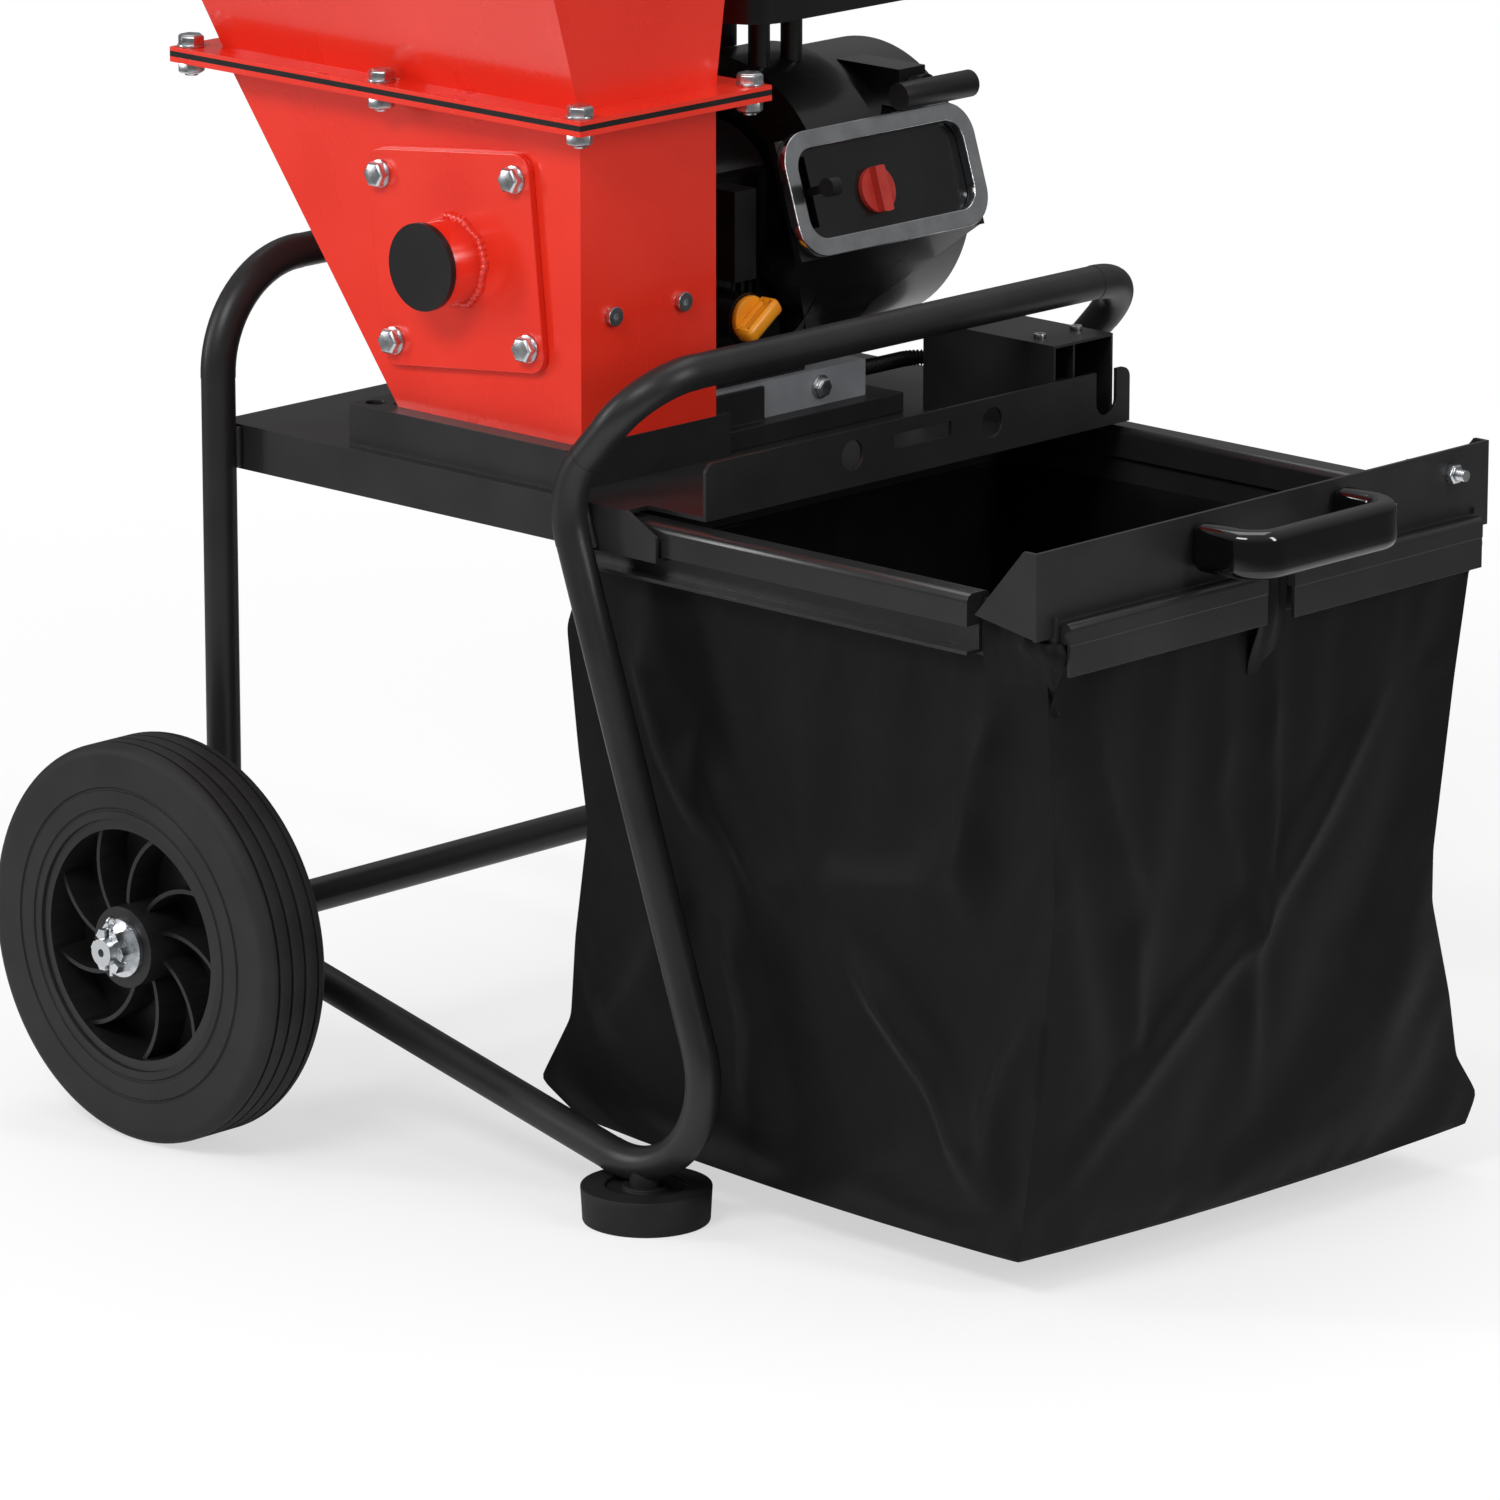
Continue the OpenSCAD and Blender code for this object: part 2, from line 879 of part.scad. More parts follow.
module housing_base() {
  x0 = housing_rear - base_rear;
  y0 = near_y - base_side;
  y1 = far_y + base_side - 2;
  color("#2b2b2c")
    difference() {
      block(x0, housing_front + 1, y0, y1, deck_z, housing_z);
      block(x0 + base_t, housing_front + 1 - base_t, y0 + base_t, y1 - base_t, deck_z - 1,
        housing_z - base_t);
      chute_hole(deck_z, housing_z + 1);
      rod_z(x0 + 12, y0 + 15, 15, deck_z, housing_z + 1);
      rod_z(x0 + 27, y0 + 23, 7, deck_z, housing_z + 1);
      rod_z(x0 + 12, y1 - 15, 15, deck_z, housing_z + 1);
    }
}

// Housing
function housing_outline(inset, z0, z1) =
  let(slope = tan(housing_lean), skew = inset / cos(housing_lean))
  [
    [housing_rear + skew - (z0 - housing_z) * slope, z0],
    [housing_front - inset, z0],
    [housing_front - inset, z1],
    [housing_rear + skew - (z1 - housing_z) * slope, z1]
  ];

module housing() {
  color("#e0301e")
    difference() {
      union() {
        slab_xz(housing_outline(0, housing_z, housing_top), near_y, far_y);
        block(mouth_rear - rim, housing_front + rim, near_y - rim, far_y + rim, housing_top - flange_t,
          housing_top);
      }
      slab_xz(housing_outline(housing_t, housing_z - 1, housing_top + 1), near_y + housing_t,
        far_y - housing_t);
      at_rotor()
        rod_y(0, 0, bearing_d + 48, near_y - 1, near_y + housing_t + 1);
      at_rotor()
        rod_y(0, 0, shaft_d + 30, far_y - housing_t - 1, far_y + 1);
      plate_bolt_holes();
      lean_bolts() translate([0, 0, -housing_t - 1]) cylinder(d = m10 + hole_gap, h = housing_t + 2);
      front_screws() cylinder(d = m8 + hole_gap, h = 4 * housing_t, center = true);
      hopper_bolt_places() cylinder(d = m10 + hole_gap, h = 60, center = true);
      engine_face_bolts() cylinder(d = m8 + hole_gap, h = 60, center = true);
    }
}

module plate_bolt_places() {
  at_plate()
    for (x = [-1, 1], z = [-1, 1])
      translate([x * plate_bolt_x, 0, z * plate_bolt_z])
        rotate([-90, 0, 0])
          children();
}

module plate_bolt_holes() {
  plate_bolt_places()
    cylinder(d = m10 + hole_gap, h = 80, center = true);
}

module lean_bolts() {
  at_lean()
    for (y = [near_y + 18, far_y - 32])
      translate([0, y, 62])
        rotate([0, 90, 0])
          children();
}

module front_screws() {
  for (y = [near_y + 31, near_y + 101])
    translate([housing_front, y, housing_z + 89])
      rotate([0, -90, 0])
        children();
}

module hopper_bolt_places() {
  for (x = [mouth_rear - rim_bolt, (mouth_rear + housing_front) / 2, housing_front + rim_bolt])
    for (y = [near_y - rim_bolt, far_y + rim_bolt])
      translate([x, y, housing_top])
        children();
}

module engine_face_bolts() {
  at_engine()
    for (a = [35, 145, 215, 325])
      rotate([0, a, 0])
        translate([50, 0, 0])
          rotate([-90, 0, 0])
            children();
}

module bearing_plate() {
  color("#e0301e")
    difference() {
      union() {
        at_plate()
          rotate([90, 0, 0])
            linear_extrude(plate_t)
              round_rect(2 * plate_half_x, 2 * plate_half_z, 14);
        at_rotor()
          rod_y(0, 0, boss_d, boss_end, near_y);
      }
      at_rotor()
        rod_y(0, 0, bearing_d, boss_end - 1, near_y - plate_t);
      at_rotor()
        rod_y(0, 0, shaft_d + 6, near_y - plate_t - 1, near_y + 1);
      plate_bolt_holes();
    }
}

module bearing_cap() {
  color("#2a2a2a")
    at_rotor() {
      rod_y(0, 0, boss_d + 3, boss_end - cap_t, boss_end);
      difference() {
        rod_y(0, 0, bearing_d - sit, boss_end, boss_end + 6);
        rod_y(0, 0, bearing_d - 6, boss_end - 1, boss_end + 7);
      }
    }
}

bearing_y0 = near_y - plate_t - bearing_w - 1;

module rotor_bearing() {
  ball_pitch = (bearing_d + shaft_d) / 2;
  color("#b9bdc2")
    translate([rotor_x, bearing_y0, rotor_z])
      rotate([-90, 0, 0])
        difference() {
          cylinder(d = bearing_d - sit, h = bearing_w);
          translate([0, 0, -1])
            cylinder(d = shaft_d + run_gap, h = bearing_w + 2);
          for (z = [-1, bearing_w - 1])
            translate([0, 0, z])
              difference() {
                cylinder(d = ball_pitch + 8, h = 2);
                translate([0, 0, -1])
                  cylinder(d = ball_pitch - 8, h = 4);
              }
        }
}

module hex_bolts() {
  color("#c9ccd0") {
    plate_bolt_places()
      translate([0, 0, -plate_t])
        m10_bolt(plate_t + housing_t);
    lean_bolts()
      translate([0, 0, -housing_t - seat_gap])
        m10_bolt(housing_t + 12);
    hopper_bolt_places()
      translate([0, 0, curtain_t + hopper_t])
        mirror([0, 0, 1])
          m10_bolt(curtain_t + hopper_t + flange_t + 10);
    hopper_bolt_places()
      translate([0, 0, -flange_t - 8])
        linear_extrude(8)
          difference() {
            hexagon(m10_af);
            circle(d = m10 + hole_gap);
          }
  }
}

wear_t = 6;

module button_screws() {
  color("#6e7074") {
    front_screws()
      button_screw(m8, 14, 4.4, 5, housing_t + wear_t);
    box_screw_places()
      button_screw(4, 8, 2.6, 2.5, 8);
  }
}

module wear_plate() {
  color("#77797c")
    difference() {
      block(housing_front - housing_t - wear_t, housing_front - housing_t, rotor_y0, rotor_y1,
        housing_z + 72, housing_z + 108);
      front_screws() cylinder(d = m8 + hole_gap, h = 60, center = true);
    }
}

module counter_blade() {
  color("#8c8f93")
    difference() {
      at_lean()
        block(0, blade_t, rotor_y0, rotor_y1, -10, 80);
      lean_bolts() cylinder(d = m10 + hole_gap, h = 13);
    }
}

// Hopper
curtain_t = 4;
hopper_t = 3;
hopper_z = housing_top + curtain_t;
hopper_top = hopper_z + hopper_h;
mouth_flare_rear = 66;
mouth_flare_front = 24;
mouth_flare_near = 108;
mouth_flare_far = 16;

function hopper_side(inset, extra) = [
  [mouth_rear + inset, hopper_z - extra],
  [housing_front - inset, hopper_z - extra],
  [housing_front + mouth_flare_front - inset, hopper_top + extra],
  [mouth_rear - mouth_flare_rear + inset, hopper_top + extra]
];
function hopper_end(inset, extra) = [
  [near_y + inset, hopper_z - extra],
  [far_y - inset, hopper_z - extra],
  [far_y + mouth_flare_far - inset, hopper_top + extra],
  [near_y - mouth_flare_near + inset, hopper_top + extra]
];

module hopper_form(inset, extra) {
  intersection() {
    slab_xz(hopper_side(inset, extra), near_y - 2 * mouth_flare_near, far_y + 2 * mouth_flare_near);
    slab_yz(hopper_end(inset, extra), mouth_rear - 2 * mouth_flare_rear,
      housing_front + 2 * mouth_flare_rear);
  }
}

module hopper() {
  lip = 12;
  color("#e0301e")
    difference() {
      union() {
        hopper_form(0, 0);
        block(mouth_rear - rim, housing_front + rim, near_y - rim, far_y + rim, hopper_z,
          hopper_z + hopper_t);
        block(mouth_rear - mouth_flare_rear - lip, housing_front + mouth_flare_front + lip,
          near_y - mouth_flare_near - lip, far_y + mouth_flare_far + lip, hopper_top - hopper_t,
          hopper_top);
      }
      hopper_form(hopper_t, 1);
      hopper_bolt_places() cylinder(d = m10 + hole_gap, h = 60, center = true);
    }
}

module feed_curtain() {
  strips = 9;
  pitch = (housing_front - mouth_rear) / strips;
  color("#262626")
    difference() {
      block(mouth_rear - rim, housing_front + rim, near_y - rim, far_y + rim, housing_top, hopper_z);
      for (i = [0 : strips])
        translate([mouth_rear + i * pitch - 1, near_y + 8, housing_top - 1])
          cube([2, housing_w - 16, curtain_t + 2]);
      translate([mouth_rear - 1, (near_y + far_y) / 2 - 1, housing_top - 1])
        cube([housing_front - mouth_rear + 2, 2, curtain_t + 2]);
      hopper_bolt_places() cylinder(d = m10 + hole_gap, h = 60, center = true);
    }
}

// Rotor
module rotor() {
  color("#6a6c70")
    at_rotor()
      difference() {
        union() {
          rod_y(0, 0, drum_d, rotor_y0, rotor_y1);
          rod_y(0, 0, shaft_d + 14, rotor_y0 - 2, rotor_y0);
          rod_y(0, 0, shaft_d, bearing_y0 - 2, rotor_y0);
        }
        rod_y(0, 0, stub_d + run_gap, far_y - stub_l - 2, rotor_y1 + 1);
        for (a = [0, 180])
          rotate([0, a, 0])
            block(6, drum_d, rotor_y0 - 1, rotor_y1 + 1, knife_seat, drum_d);
        knife_bolt_places() translate([0, 0, -24]) cylinder(d = m8 + hole_gap, h = 25);
      }
}

module knife_bolt_places() {
  for (a = [0, 180], y = [rotor_y0 + 28, rotor_y1 - 28])
    rotate([0, a, 0])
      translate([30, y, knife_seat])
        children();
}

module knives() {
  color("#a9adb2")
    at_rotor()
      difference() {
        for (a = [0, 180])
          rotate([0, a, 0])
            slab_xz([[8, knife_seat], [knife_reach - 9, knife_seat], [knife_reach, knife_seat + knife_t],
              [8, knife_seat + knife_t]], rotor_y0 + 4, rotor_y1 - 4);
        knife_bolt_places() cylinder(d = m8 + hole_gap, h = 20);
      }
}

module knife_bolts() {
  color("#3c3d40")
    at_rotor()
      knife_bolt_places() {
        translate([0, 0, -22])
          cylinder(d = m8, h = 22 + knife_t);
        translate([0, 0, knife_t])
          difference() {
            cylinder(d = 13, h = 8);
            translate([0, 0, 4])
              linear_extrude(5)
                hexagon(6);
          }
      }
}

module crankshaft() {
  throw = 27;
  web = 54;
  pin_w = 22;
  color("#85888c")
    at_engine() {
      rod_y(0, 0, stub_d, -stub_l, 0);
      rod_y(0, 0, shaft_d, 0, cylinder_y - pin_w / 2 - 12);
      rod_y(0, 0, shaft_d, cylinder_y + pin_w / 2 + 12, blower_y1 + 6);
      rod_y(-throw, 0, 26, cylinder_y - pin_w / 2, cylinder_y + pin_w / 2);
      for (y = [cylinder_y - pin_w / 2 - 12, cylinder_y + pin_w / 2])
        intersection() {
          rod_y(0, 0, 2 * web, y, y + 12);
          block(-2 * web, 2 * web, y, y + 12, -web * 0.62, web * 0.62);
        }
    }
}

module flywheel() {
  blades = 16;
  y0 = case_y1 + 14;
  color("#5d6063")
    at_engine()
      difference() {
        union() {
          rod_y(0, 0, 2 * blower_r - 44, y0, y0 + 22);
          rod_y(0, 0, shaft_d + 22, y0, blower_y1 - 22);
          for (i = [0 : blades - 1])
            rotate([0, i * 360 / blades, 0])
              block(blower_r - 62, blower_r - 24, y0 + 21, y0 + 44, -1.5, 1.5);
        }
        rod_y(0, 0, shaft_d + run_gap, y0 - 1, blower_y1);
      }
}

// Engine
module crankcase() {
  color("#2c2c2e")
    difference() {
      at_engine()
        difference() {
          union() {
            block(case_x0, case_x1, case_y0, case_y1, -crank_h, case_z1);
            rod_y(0, 0, 2 * 68, case_y0, case_y1);
            block(-foot_x, foot_x, case_y0, case_y1, -crank_h, -crank_h + 12);
            rod_x(dip_y, dip_z, dip_boss_d, case_x1 - 4, dip_boss_x);
            for (y = [case_y0 + 58, case_y0 + 66, case_y0 + 74])
              block(case_x1 - 2, case_x1 + 5, y, y + 4, -crank_h, 20);
            rod_y(0, 0, 96, case_y1, case_y1 + 8);
          }
          block(case_x0 + case_wall, case_x1 - case_wall, case_y0 - 1, case_y1 - case_wall,
            -crank_h + 14, case_z1 - case_wall);
          rod_y(0, 0, 2 * 60, case_y0 - 1, case_y1 - case_wall);
          rod_y(0, 0, shaft_d + run_gap, case_y0 - 1, case_y1 + 20);
          rod_x(dip_y, dip_z, dip_hole_d + run_gap, case_x1 - 2 * case_wall, dip_boss_x + 1);
        }
      engine_bolt_places() cylinder(d = m8 + hole_gap, h = 60, center = true);
      at_cylinder()
        translate([-200, -200, cylinder_start])
          cube(400);
      at_cylinder()
        cylinder(d = 70, h = cylinder_start + 1);
    }
}

module engine_bolt_places() {
  translate([rotor_x, far_y + mount_y, engine_z + 12])
    for (x = [-1, 1], y = [-1, 1])
      translate([x * engine_bolt_x / 2, y * engine_bolt_y / 2, 0])
        children();
}

module crankcase_cover() {
  color("#353538")
    difference() {
      at_engine()
        difference() {
          union() {
            block(case_x0, case_x1, 0, case_y0, -crank_h + 14, case_z1);
            rod_y(0, 0, 2 * 68, 0, case_y0);
          }
          rod_y(0, 0, shaft_d + run_gap, -1, case_y0 + 1);
        }
      engine_face_bolts() cylinder(d = m8 + hole_gap, h = 60, center = true);
    }
}

module flange_bolts() {
  color("#b9bcc0") {
    engine_face_bolts()
      translate([0, 0, -housing_t])
        m8_flange_bolt(housing_t + cover_t);
    engine_bolt_places()
      mirror([0, 0, 1])
        m8_flange_bolt(12 + channel_t + 8);
    for (x = [front_channel_x + channel_w / 2])
      translate([x, far_y + 128, engine_z - 13])
        rotate([0, -90, 0])
          m8_flange_bolt(12);
  }
}

module cylinder_fin_stack(z0, z1, size, gap) {
  for (z = [z0 : gap : z1])
    translate([-size / 2, -size / 2, z])
      cube([size, size, 3]);
}

module cylinder_body() {
  cylinder(d = 84, h = head_end);
  cylinder_fin_stack(cylinder_start + 8, head_end - 14, fin_size, 9);
  translate([-42, -42, head_end - 8])
    cube([84, 84, 8]);
  translate([-46, -40, cylinder_start])
    cube([92, 80, 6]);
}

plug_z = head_end - 20;

module cylinder_barrel() {
  color("#9a9da1")
    at_cylinder()
      difference() {
        intersection() {
          cylinder_body();
          translate([-100, -100, cylinder_start])
            cube(200);
        }
        translate([0, 0, cylinder_start - 1])
          cylinder(d = 68, h = head_end - cylinder_start - 24);
        translate([-30, 0, plug_z])
          rotate([0, -90, 0])
            cylinder(d = 14 + hole_gap, h = 30);
      }
}

module rocker_cover() {
  color("#2f2f31")
    at_cylinder() {
      translate([0, 0, head_end])
        linear_extrude(26)
          round_rect(84, 84, 10);
      translate([0, 0, head_end + 26])
        linear_extrude(6)
          round_rect(66, 66, 8);
    }
}

module spark_plug() {
  color("#232323")
    at_cylinder()
      translate([0, 0, plug_z])
        rotate([0, -90, 0]) {
          translate([0, 0, 38])
            cylinder(d = 14, h = 16);
          translate([0, 0, 48 + sit])
            cylinder(d = 22, h = 10);
          translate([0, 0, 58])
            cylinder(d = 16, h = 34);
          translate([0, 0, 84])
            rotate([90, 0, 0])
              cylinder(d = 15, h = 26);
        }
}

module carburettor() {
  mid_x = (carb_x0 + carb_x1) / 2;
  mid_y = (carb_y0 + carb_y1) / 2;
  color("#8d9094")
    at_engine()
      difference() {
        union() {
          block(carb_x0, carb_x1, carb_y0, carb_y1, carb_z0 + 16, carb_z1 - 8);
          rod_z(mid_x, mid_y, 44, carb_z0, carb_z0 + 16);
          block(carb_x0 - intake_l, carb_x0, mid_y - 18, mid_y + 18, carb_z0 + 20, carb_z1 - 12);
          for (x = [choke_x, fuel_x])
            rod_y(x, lever_axis_z, 14, carb_y0 - 5, carb_y0);
        }
        for (x = [choke_x, fuel_x])
          rod_y(x, lever_axis_z, spindle_d + run_gap, carb_y0 - 6, carb_y0 + 8);
      }
  color("#8d9094")
    at_cylinder()
      block(fin_size / 2 + sit, fin_size / 2 + 16, -14, 14, head_end - 42, head_end - 14);
}

spindle_d = 5;
choke_x = carb_x0 + 14;
fuel_x = carb_x1 - 14;
lever_axis_z = carb_z0 + 26;

// Small lever hinged on a y axis: hub and arm along +x
module side_lever(length) {
  translate([0, -6, 0])
    rotate([-90, 0, 0]) {
      cylinder(d = 13, h = 6);
      cylinder(d = spindle_d, h = 12);
      linear_extrude(4)
        translate([0, -4])
          square([length - 5, 8]);
      translate([length - 5, 0, 0])
        cylinder(d = 10, h = 4);
    }
}

module choke_lever() {
  color("#232323")
    at_engine()
      translate([choke_x, carb_y0 - 5 - slide_gap, lever_axis_z])
        mirror([1, 0, 0])
          side_lever(34);
}

module fuel_lever() {
  color("#b3312a")
    at_engine()
      translate([fuel_x, carb_y0 - 5 - slide_gap, lever_axis_z])
        side_lever(26);
}

filter_x0 = -262;
filter_x1 = carb_x0 - intake_l - sit;
filter_y0 = 34;
filter_y1 = 126;
filter_z0 = carb_z0 + 20;
filter_z1 = 218;

module air_filter() {
  mid_x = (filter_x0 + filter_x1) / 2;
  mid_y = (filter_y0 + filter_y1) / 2;
  color("#28282a")
    at_engine()
      difference() {
        union() {
          translate([mid_x, mid_y, 150])
            linear_extrude(filter_z1 - 158)
              round_rect(filter_x1 - filter_x0, filter_y1 - filter_y0, 16);
          translate([mid_x, mid_y, filter_z1 - 8])
            linear_extrude(8)
              round_rect(filter_x1 - filter_x0 - 16, filter_y1 - filter_y0 - 16, 12);
          block(filter_x1 - 40, filter_x1, mid_y - 32, mid_y + 4, filter_z0, 151);
          rod_z(mid_x, mid_y, 24, filter_z1 - 2, filter_z1 + 10);
        }
        translate([mid_x, mid_y, 154])
          linear_extrude(filter_z1 - 166)
            round_rect(filter_x1 - filter_x0 - 8, filter_y1 - filter_y0 - 8, 12);
      }
}

pipe_x0 = -150;
pipe_z = 71;
muffler_y0 = 138;
muffler_y1 = 244;

module muffler() {
  mid_x = (filter_x0 + filter_x1) / 2;
  mid_y = (muffler_y0 + muffler_y1) / 2;
  color("#4a4b4d")
    at_engine()
      difference() {
        union() {
          translate([mid_x, mid_y, 128])
            linear_extrude(72)
              round_rect(filter_x1 - filter_x0, muffler_y1 - muffler_y0, 24);
          rod_y(filter_x0 + 24, 164, 26, muffler_y1 - 2, muffler_y1 + 22);
          block(pipe_x0, filter_x1 - 2, muffler_y0, muffler_y0 + 16, pipe_z, 129);
          block(pipe_x0, pipe_x0 + 40, cylinder_y + fin_size / 2 + sit, muffler_y0 + 16, pipe_z, pipe_z + 18);
        }
        translate([mid_x, mid_y, 132])
          linear_extrude(64)
            round_rect(filter_x1 - filter_x0 - 8, muffler_y1 - muffler_y0 - 8, 20);
        rod_y(filter_x0 + 24, 164, 20, muffler_y1 - 12, muffler_y1 + 30);
      }
}

module fuel_tank() {
  w = tank_x1 - tank_x0;
  l = tank_y1 - tank_y0;
  mid = [(tank_x0 + tank_x1) / 2, (tank_y0 + tank_y1) / 2];
  wall = 3;
  color("#232324")
    at_engine()
      difference() {
        union() {
          translate([mid[0], mid[1], tank_z0])
            linear_extrude(tank_z1 - tank_z0 - 14)
              round_rect(w, l, 30);
          translate([mid[0], mid[1], tank_z0 + 28])
            linear_extrude(8)
              round_rect(w + 10, l + 10, 34);
          translate([mid[0], mid[1], tank_z1 - 15])
            linear_extrude(15)
              round_rect(w - 22, l - 22, 26);
          rod_z(tank_cap_x, tank_cap_y, neck_d, tank_z1 - 2, tank_z1 + 12);
          for (x = [-36, 30], y = [case_y1 + 20, case_y1 + 54])
            rod_z(x, y, 16, sqrt(pow(blower_r, 2) - pow(abs(x) + 8, 2)) + sit, tank_z0 + 1);
        }
        translate([mid[0], mid[1], tank_z0 + wall])
          linear_extrude(tank_z1 - tank_z0 - 14 - 2 * wall)
            round_rect(w - 2 * wall, l - 2 * wall, 27);
        rod_z(tank_cap_x, tank_cap_y, neck_d - 8, tank_z1 - 30, tank_z1 + 13);
        rod_y(0, 0, 2 * blower_r + 2 * sit, case_y1 - 20, blower_y1 + 20);
      }
}

module fuel_cap() {
  color("#202021")
    at_engine()
      translate([tank_cap_x, tank_cap_y, tank_z1 + 2])
        difference() {
          union() {
            cylinder(d = tank_cap_d, h = 18);
            translate([0, 0, 18])
              cylinder(d1 = tank_cap_d, d2 = tank_cap_d - 8, h = 4);
            for (i = [0 : 5])
              rotate(i * 60)
                translate([tank_cap_d / 2 - 2, -5, 0])
                  cube([5, 10, 18]);
          }
          translate([0, 0, -1])
            cylinder(d = neck_d + 2 * slide_gap, h = 12);
        }
}

module blower_shell(inset) {
  rod_y(0, 0, 2 * (blower_r - inset), case_y1 + 8 + inset, blower_y1 + (inset > 0 ? 1 : 0));
}

// Tapered front fascia under the trim panel
module fascia() {
  intersection() {
    slab_yz([[panel_y0, panel_z0], [panel_y1, panel_z0], [172, -84], [138, -84]], 40, panel_x);
    slab_xz([[40, -84], [case_x1 + 8, -84], [panel_x - 4, panel_z0], [40, panel_z0]], 0, 400);
  }
}

module panel_back() {
  block(-6, 0, panel_y0 + 3, panel_y1 - 3, 0, panel_h - 4);
  for (y = [lever_y - 10, lever_y + 4])
    block(lever_pivot - 7, -5, y, y + 6, lever_z - 8, lever_z + 8);
}

module blower_housing() {
  color("#232325")
    difference() {
      union() {
        at_engine()
          difference() {
            union() {
              blower_shell(0);
              fascia();
              block(60, panel_x - 34, case_y1 + 12, blower_y1 - 4, panel_z0, panel_z0 + panel_h - 24);
            }
            blower_shell(3);
            rod_y(0, 0, 2 * 60, case_y1, case_y1 + 20);
            rod_y(0, 0, 2 * recoil_r + 2 * sit, blower_y1 - 0.5, recoil_y1);
          }
        at_panel()
          panel_back();
      }
      at_engine() {
        rod_y(0, 0, 2 * (blower_r - 3), case_y1 + 11, blower_y1 + 1);
        rod_y(0, 0, 2 * recoil_r + 2 * sit, blower_y1, recoil_y1 + 20);
        block(-200, case_x1 + 5 + sit, -10, case_y1 + 8, -200, 200);
        block(-200, gov_x1 + sit, gov_y0 - 1, gov_y1 + 1, -200, 200);
      }
      at_panel()
        lever_slot();
      at_panel()
        knob_hole();
    }
}

module lever_slot() {
  block(-40, 20, lever_y - 4, lever_y + 4, lever_z - 26, lever_z + 26);
  rod_y(lever_pivot, lever_z, spindle_d + run_gap, lever_y - 12, lever_y + 12);
}

module knob_hole() {
  rod_x(knob_y, knob_z, 12 + 2 * slide_gap, -20, 20);
}

recoil_r = 104;
recoil_lip = 14;

module recoil_cover() {
  slots = 12;
  color("#262628")
    at_engine()
      difference() {
        union() {
          rod_y(0, 0, 2 * recoil_r, blower_y1, recoil_y1 - recoil_lip);
          translate([0, recoil_y1 - recoil_lip, 0])
            rotate([-90, 0, 0])
              cylinder(r1 = recoil_r, r2 = recoil_r - recoil_lip, h = recoil_lip);
          block(30, rope_boss_x, rope_y - 14, rope_y + 14, rope_z - 14, rope_z + 14);
        }
        rod_y(0, 0, 2 * recoil_r - 8, blower_y1 - 1, recoil_y1 - recoil_lip - 1);
        translate([0, recoil_y1 - recoil_lip - 1.01, 0])
          rotate([-90, 0, 0])
            cylinder(r1 = recoil_r - 4, r2 = recoil_r - recoil_lip, h = recoil_lip - 3);
        rod_x(rope_y, rope_z, rope_d + 2, 0, rope_boss_x + 1);
        for (i = [0 : slots - 1])
          rotate([0, i * 360 / slots, 0])
            block(30, 58, recoil_y1 - 8, recoil_y1 + 1, -5, 5);
      }
}

module starter_grip() {
  color("#1f1f20")
    at_engine() {
      rod_x(rope_y, rope_z, rope_d, -44, rope_boss_x + 2);
      translate([rope_boss_x + slide_gap, rope_y, rope_z])
        rotate([0, 90, 0])
          cylinder(d1 = 16, d2 = 22, h = 14);
      translate([rope_boss_x + 22, rope_y + 38, rope_z])
        rotate([90, 0, 0])
          cylinder(d = 20, h = 76);
    }
}

module trim_panel() {
  w = panel_y1 - panel_y0;
  color("#c4c7cb")
    at_panel()
      translate([0, (panel_y0 + panel_y1) / 2, panel_h / 2])
        rotate([90, 0, 90])
          linear_extrude(panel_t)
            difference() {
              round_rect(w, panel_h, 26);
              round_rect(w - 2 * panel_rim, panel_h - 2 * panel_rim, 16);
            }
}

module throttle_lever() {
  color("#1f1f20")
    at_panel()
      translate([lever_pivot, lever_y, lever_z]) {
        rotate([90, 0, 0])
          cylinder(d = 12, h = 6, center = true);
        rotate([90, 0, 0])
          cylinder(d = spindle_d, h = 18, center = true);
        translate([0, -2, -3])
          cube([36, 4, 6]);
        translate([38, 0, 0])
          rotate([90, 0, 0])
            cylinder(d = 14, h = 10, center = true);
      }
}

module stop_switch() {
  color("#b3312a")
    at_panel() {
      rod_x(knob_y, knob_z, 12, -8, 2);
      difference() {
        rod_x(knob_y, knob_z, 34, slide_gap, 10);
        for (s = [-1, 1])
          block(4, 11, knob_y + s * 14 - 9, knob_y + s * 14 + 9, knob_z - 20, knob_z + 20);
      }
    }
}

module dipstick() {
  color("#f09a1a")
    at_engine() {
      rod_x(dip_y, dip_z, dip_hole_d, case_x1 - 6, dip_boss_x + 1);
      rod_x(dip_y, dip_z, dip_boss_d - 3, dip_boss_x + slide_gap, dip_boss_x + 5);
      rod_x(dip_y, dip_z, 5, 20, case_x1);
      rotate([35, 0, 0])
        translate([0, dip_y * cos(35) + dip_z * sin(35), dip_z * cos(35) - dip_y * sin(35)])
          block(dip_boss_x + 4, dip_boss_x + 20, -19, 19, -5, 5);
    }
}

module governor_unit() {
  color("#202021")
    at_engine() {
      block(case_x1, gov_x1, gov_y0, gov_y1, gov_z0, gov_z1);
      rod_z(gov_x1 - 9, gov_y0 + 8, 2.5, gov_z0 - 8, gov_z0);
    }
}

// Mounts of the engine
module mount_channel(x) {
  difference() {
    block(x - channel_w / 2, x + channel_w / 2, channel_y0, channel_y1, deck_z + rail_h, engine_z);
    block(x - channel_w / 2 + channel_t, x + channel_w / 2 - channel_t, channel_y0 - 1, channel_y1 + 1,
      deck_z + rail_h + channel_t, engine_z - channel_t);
  }
}

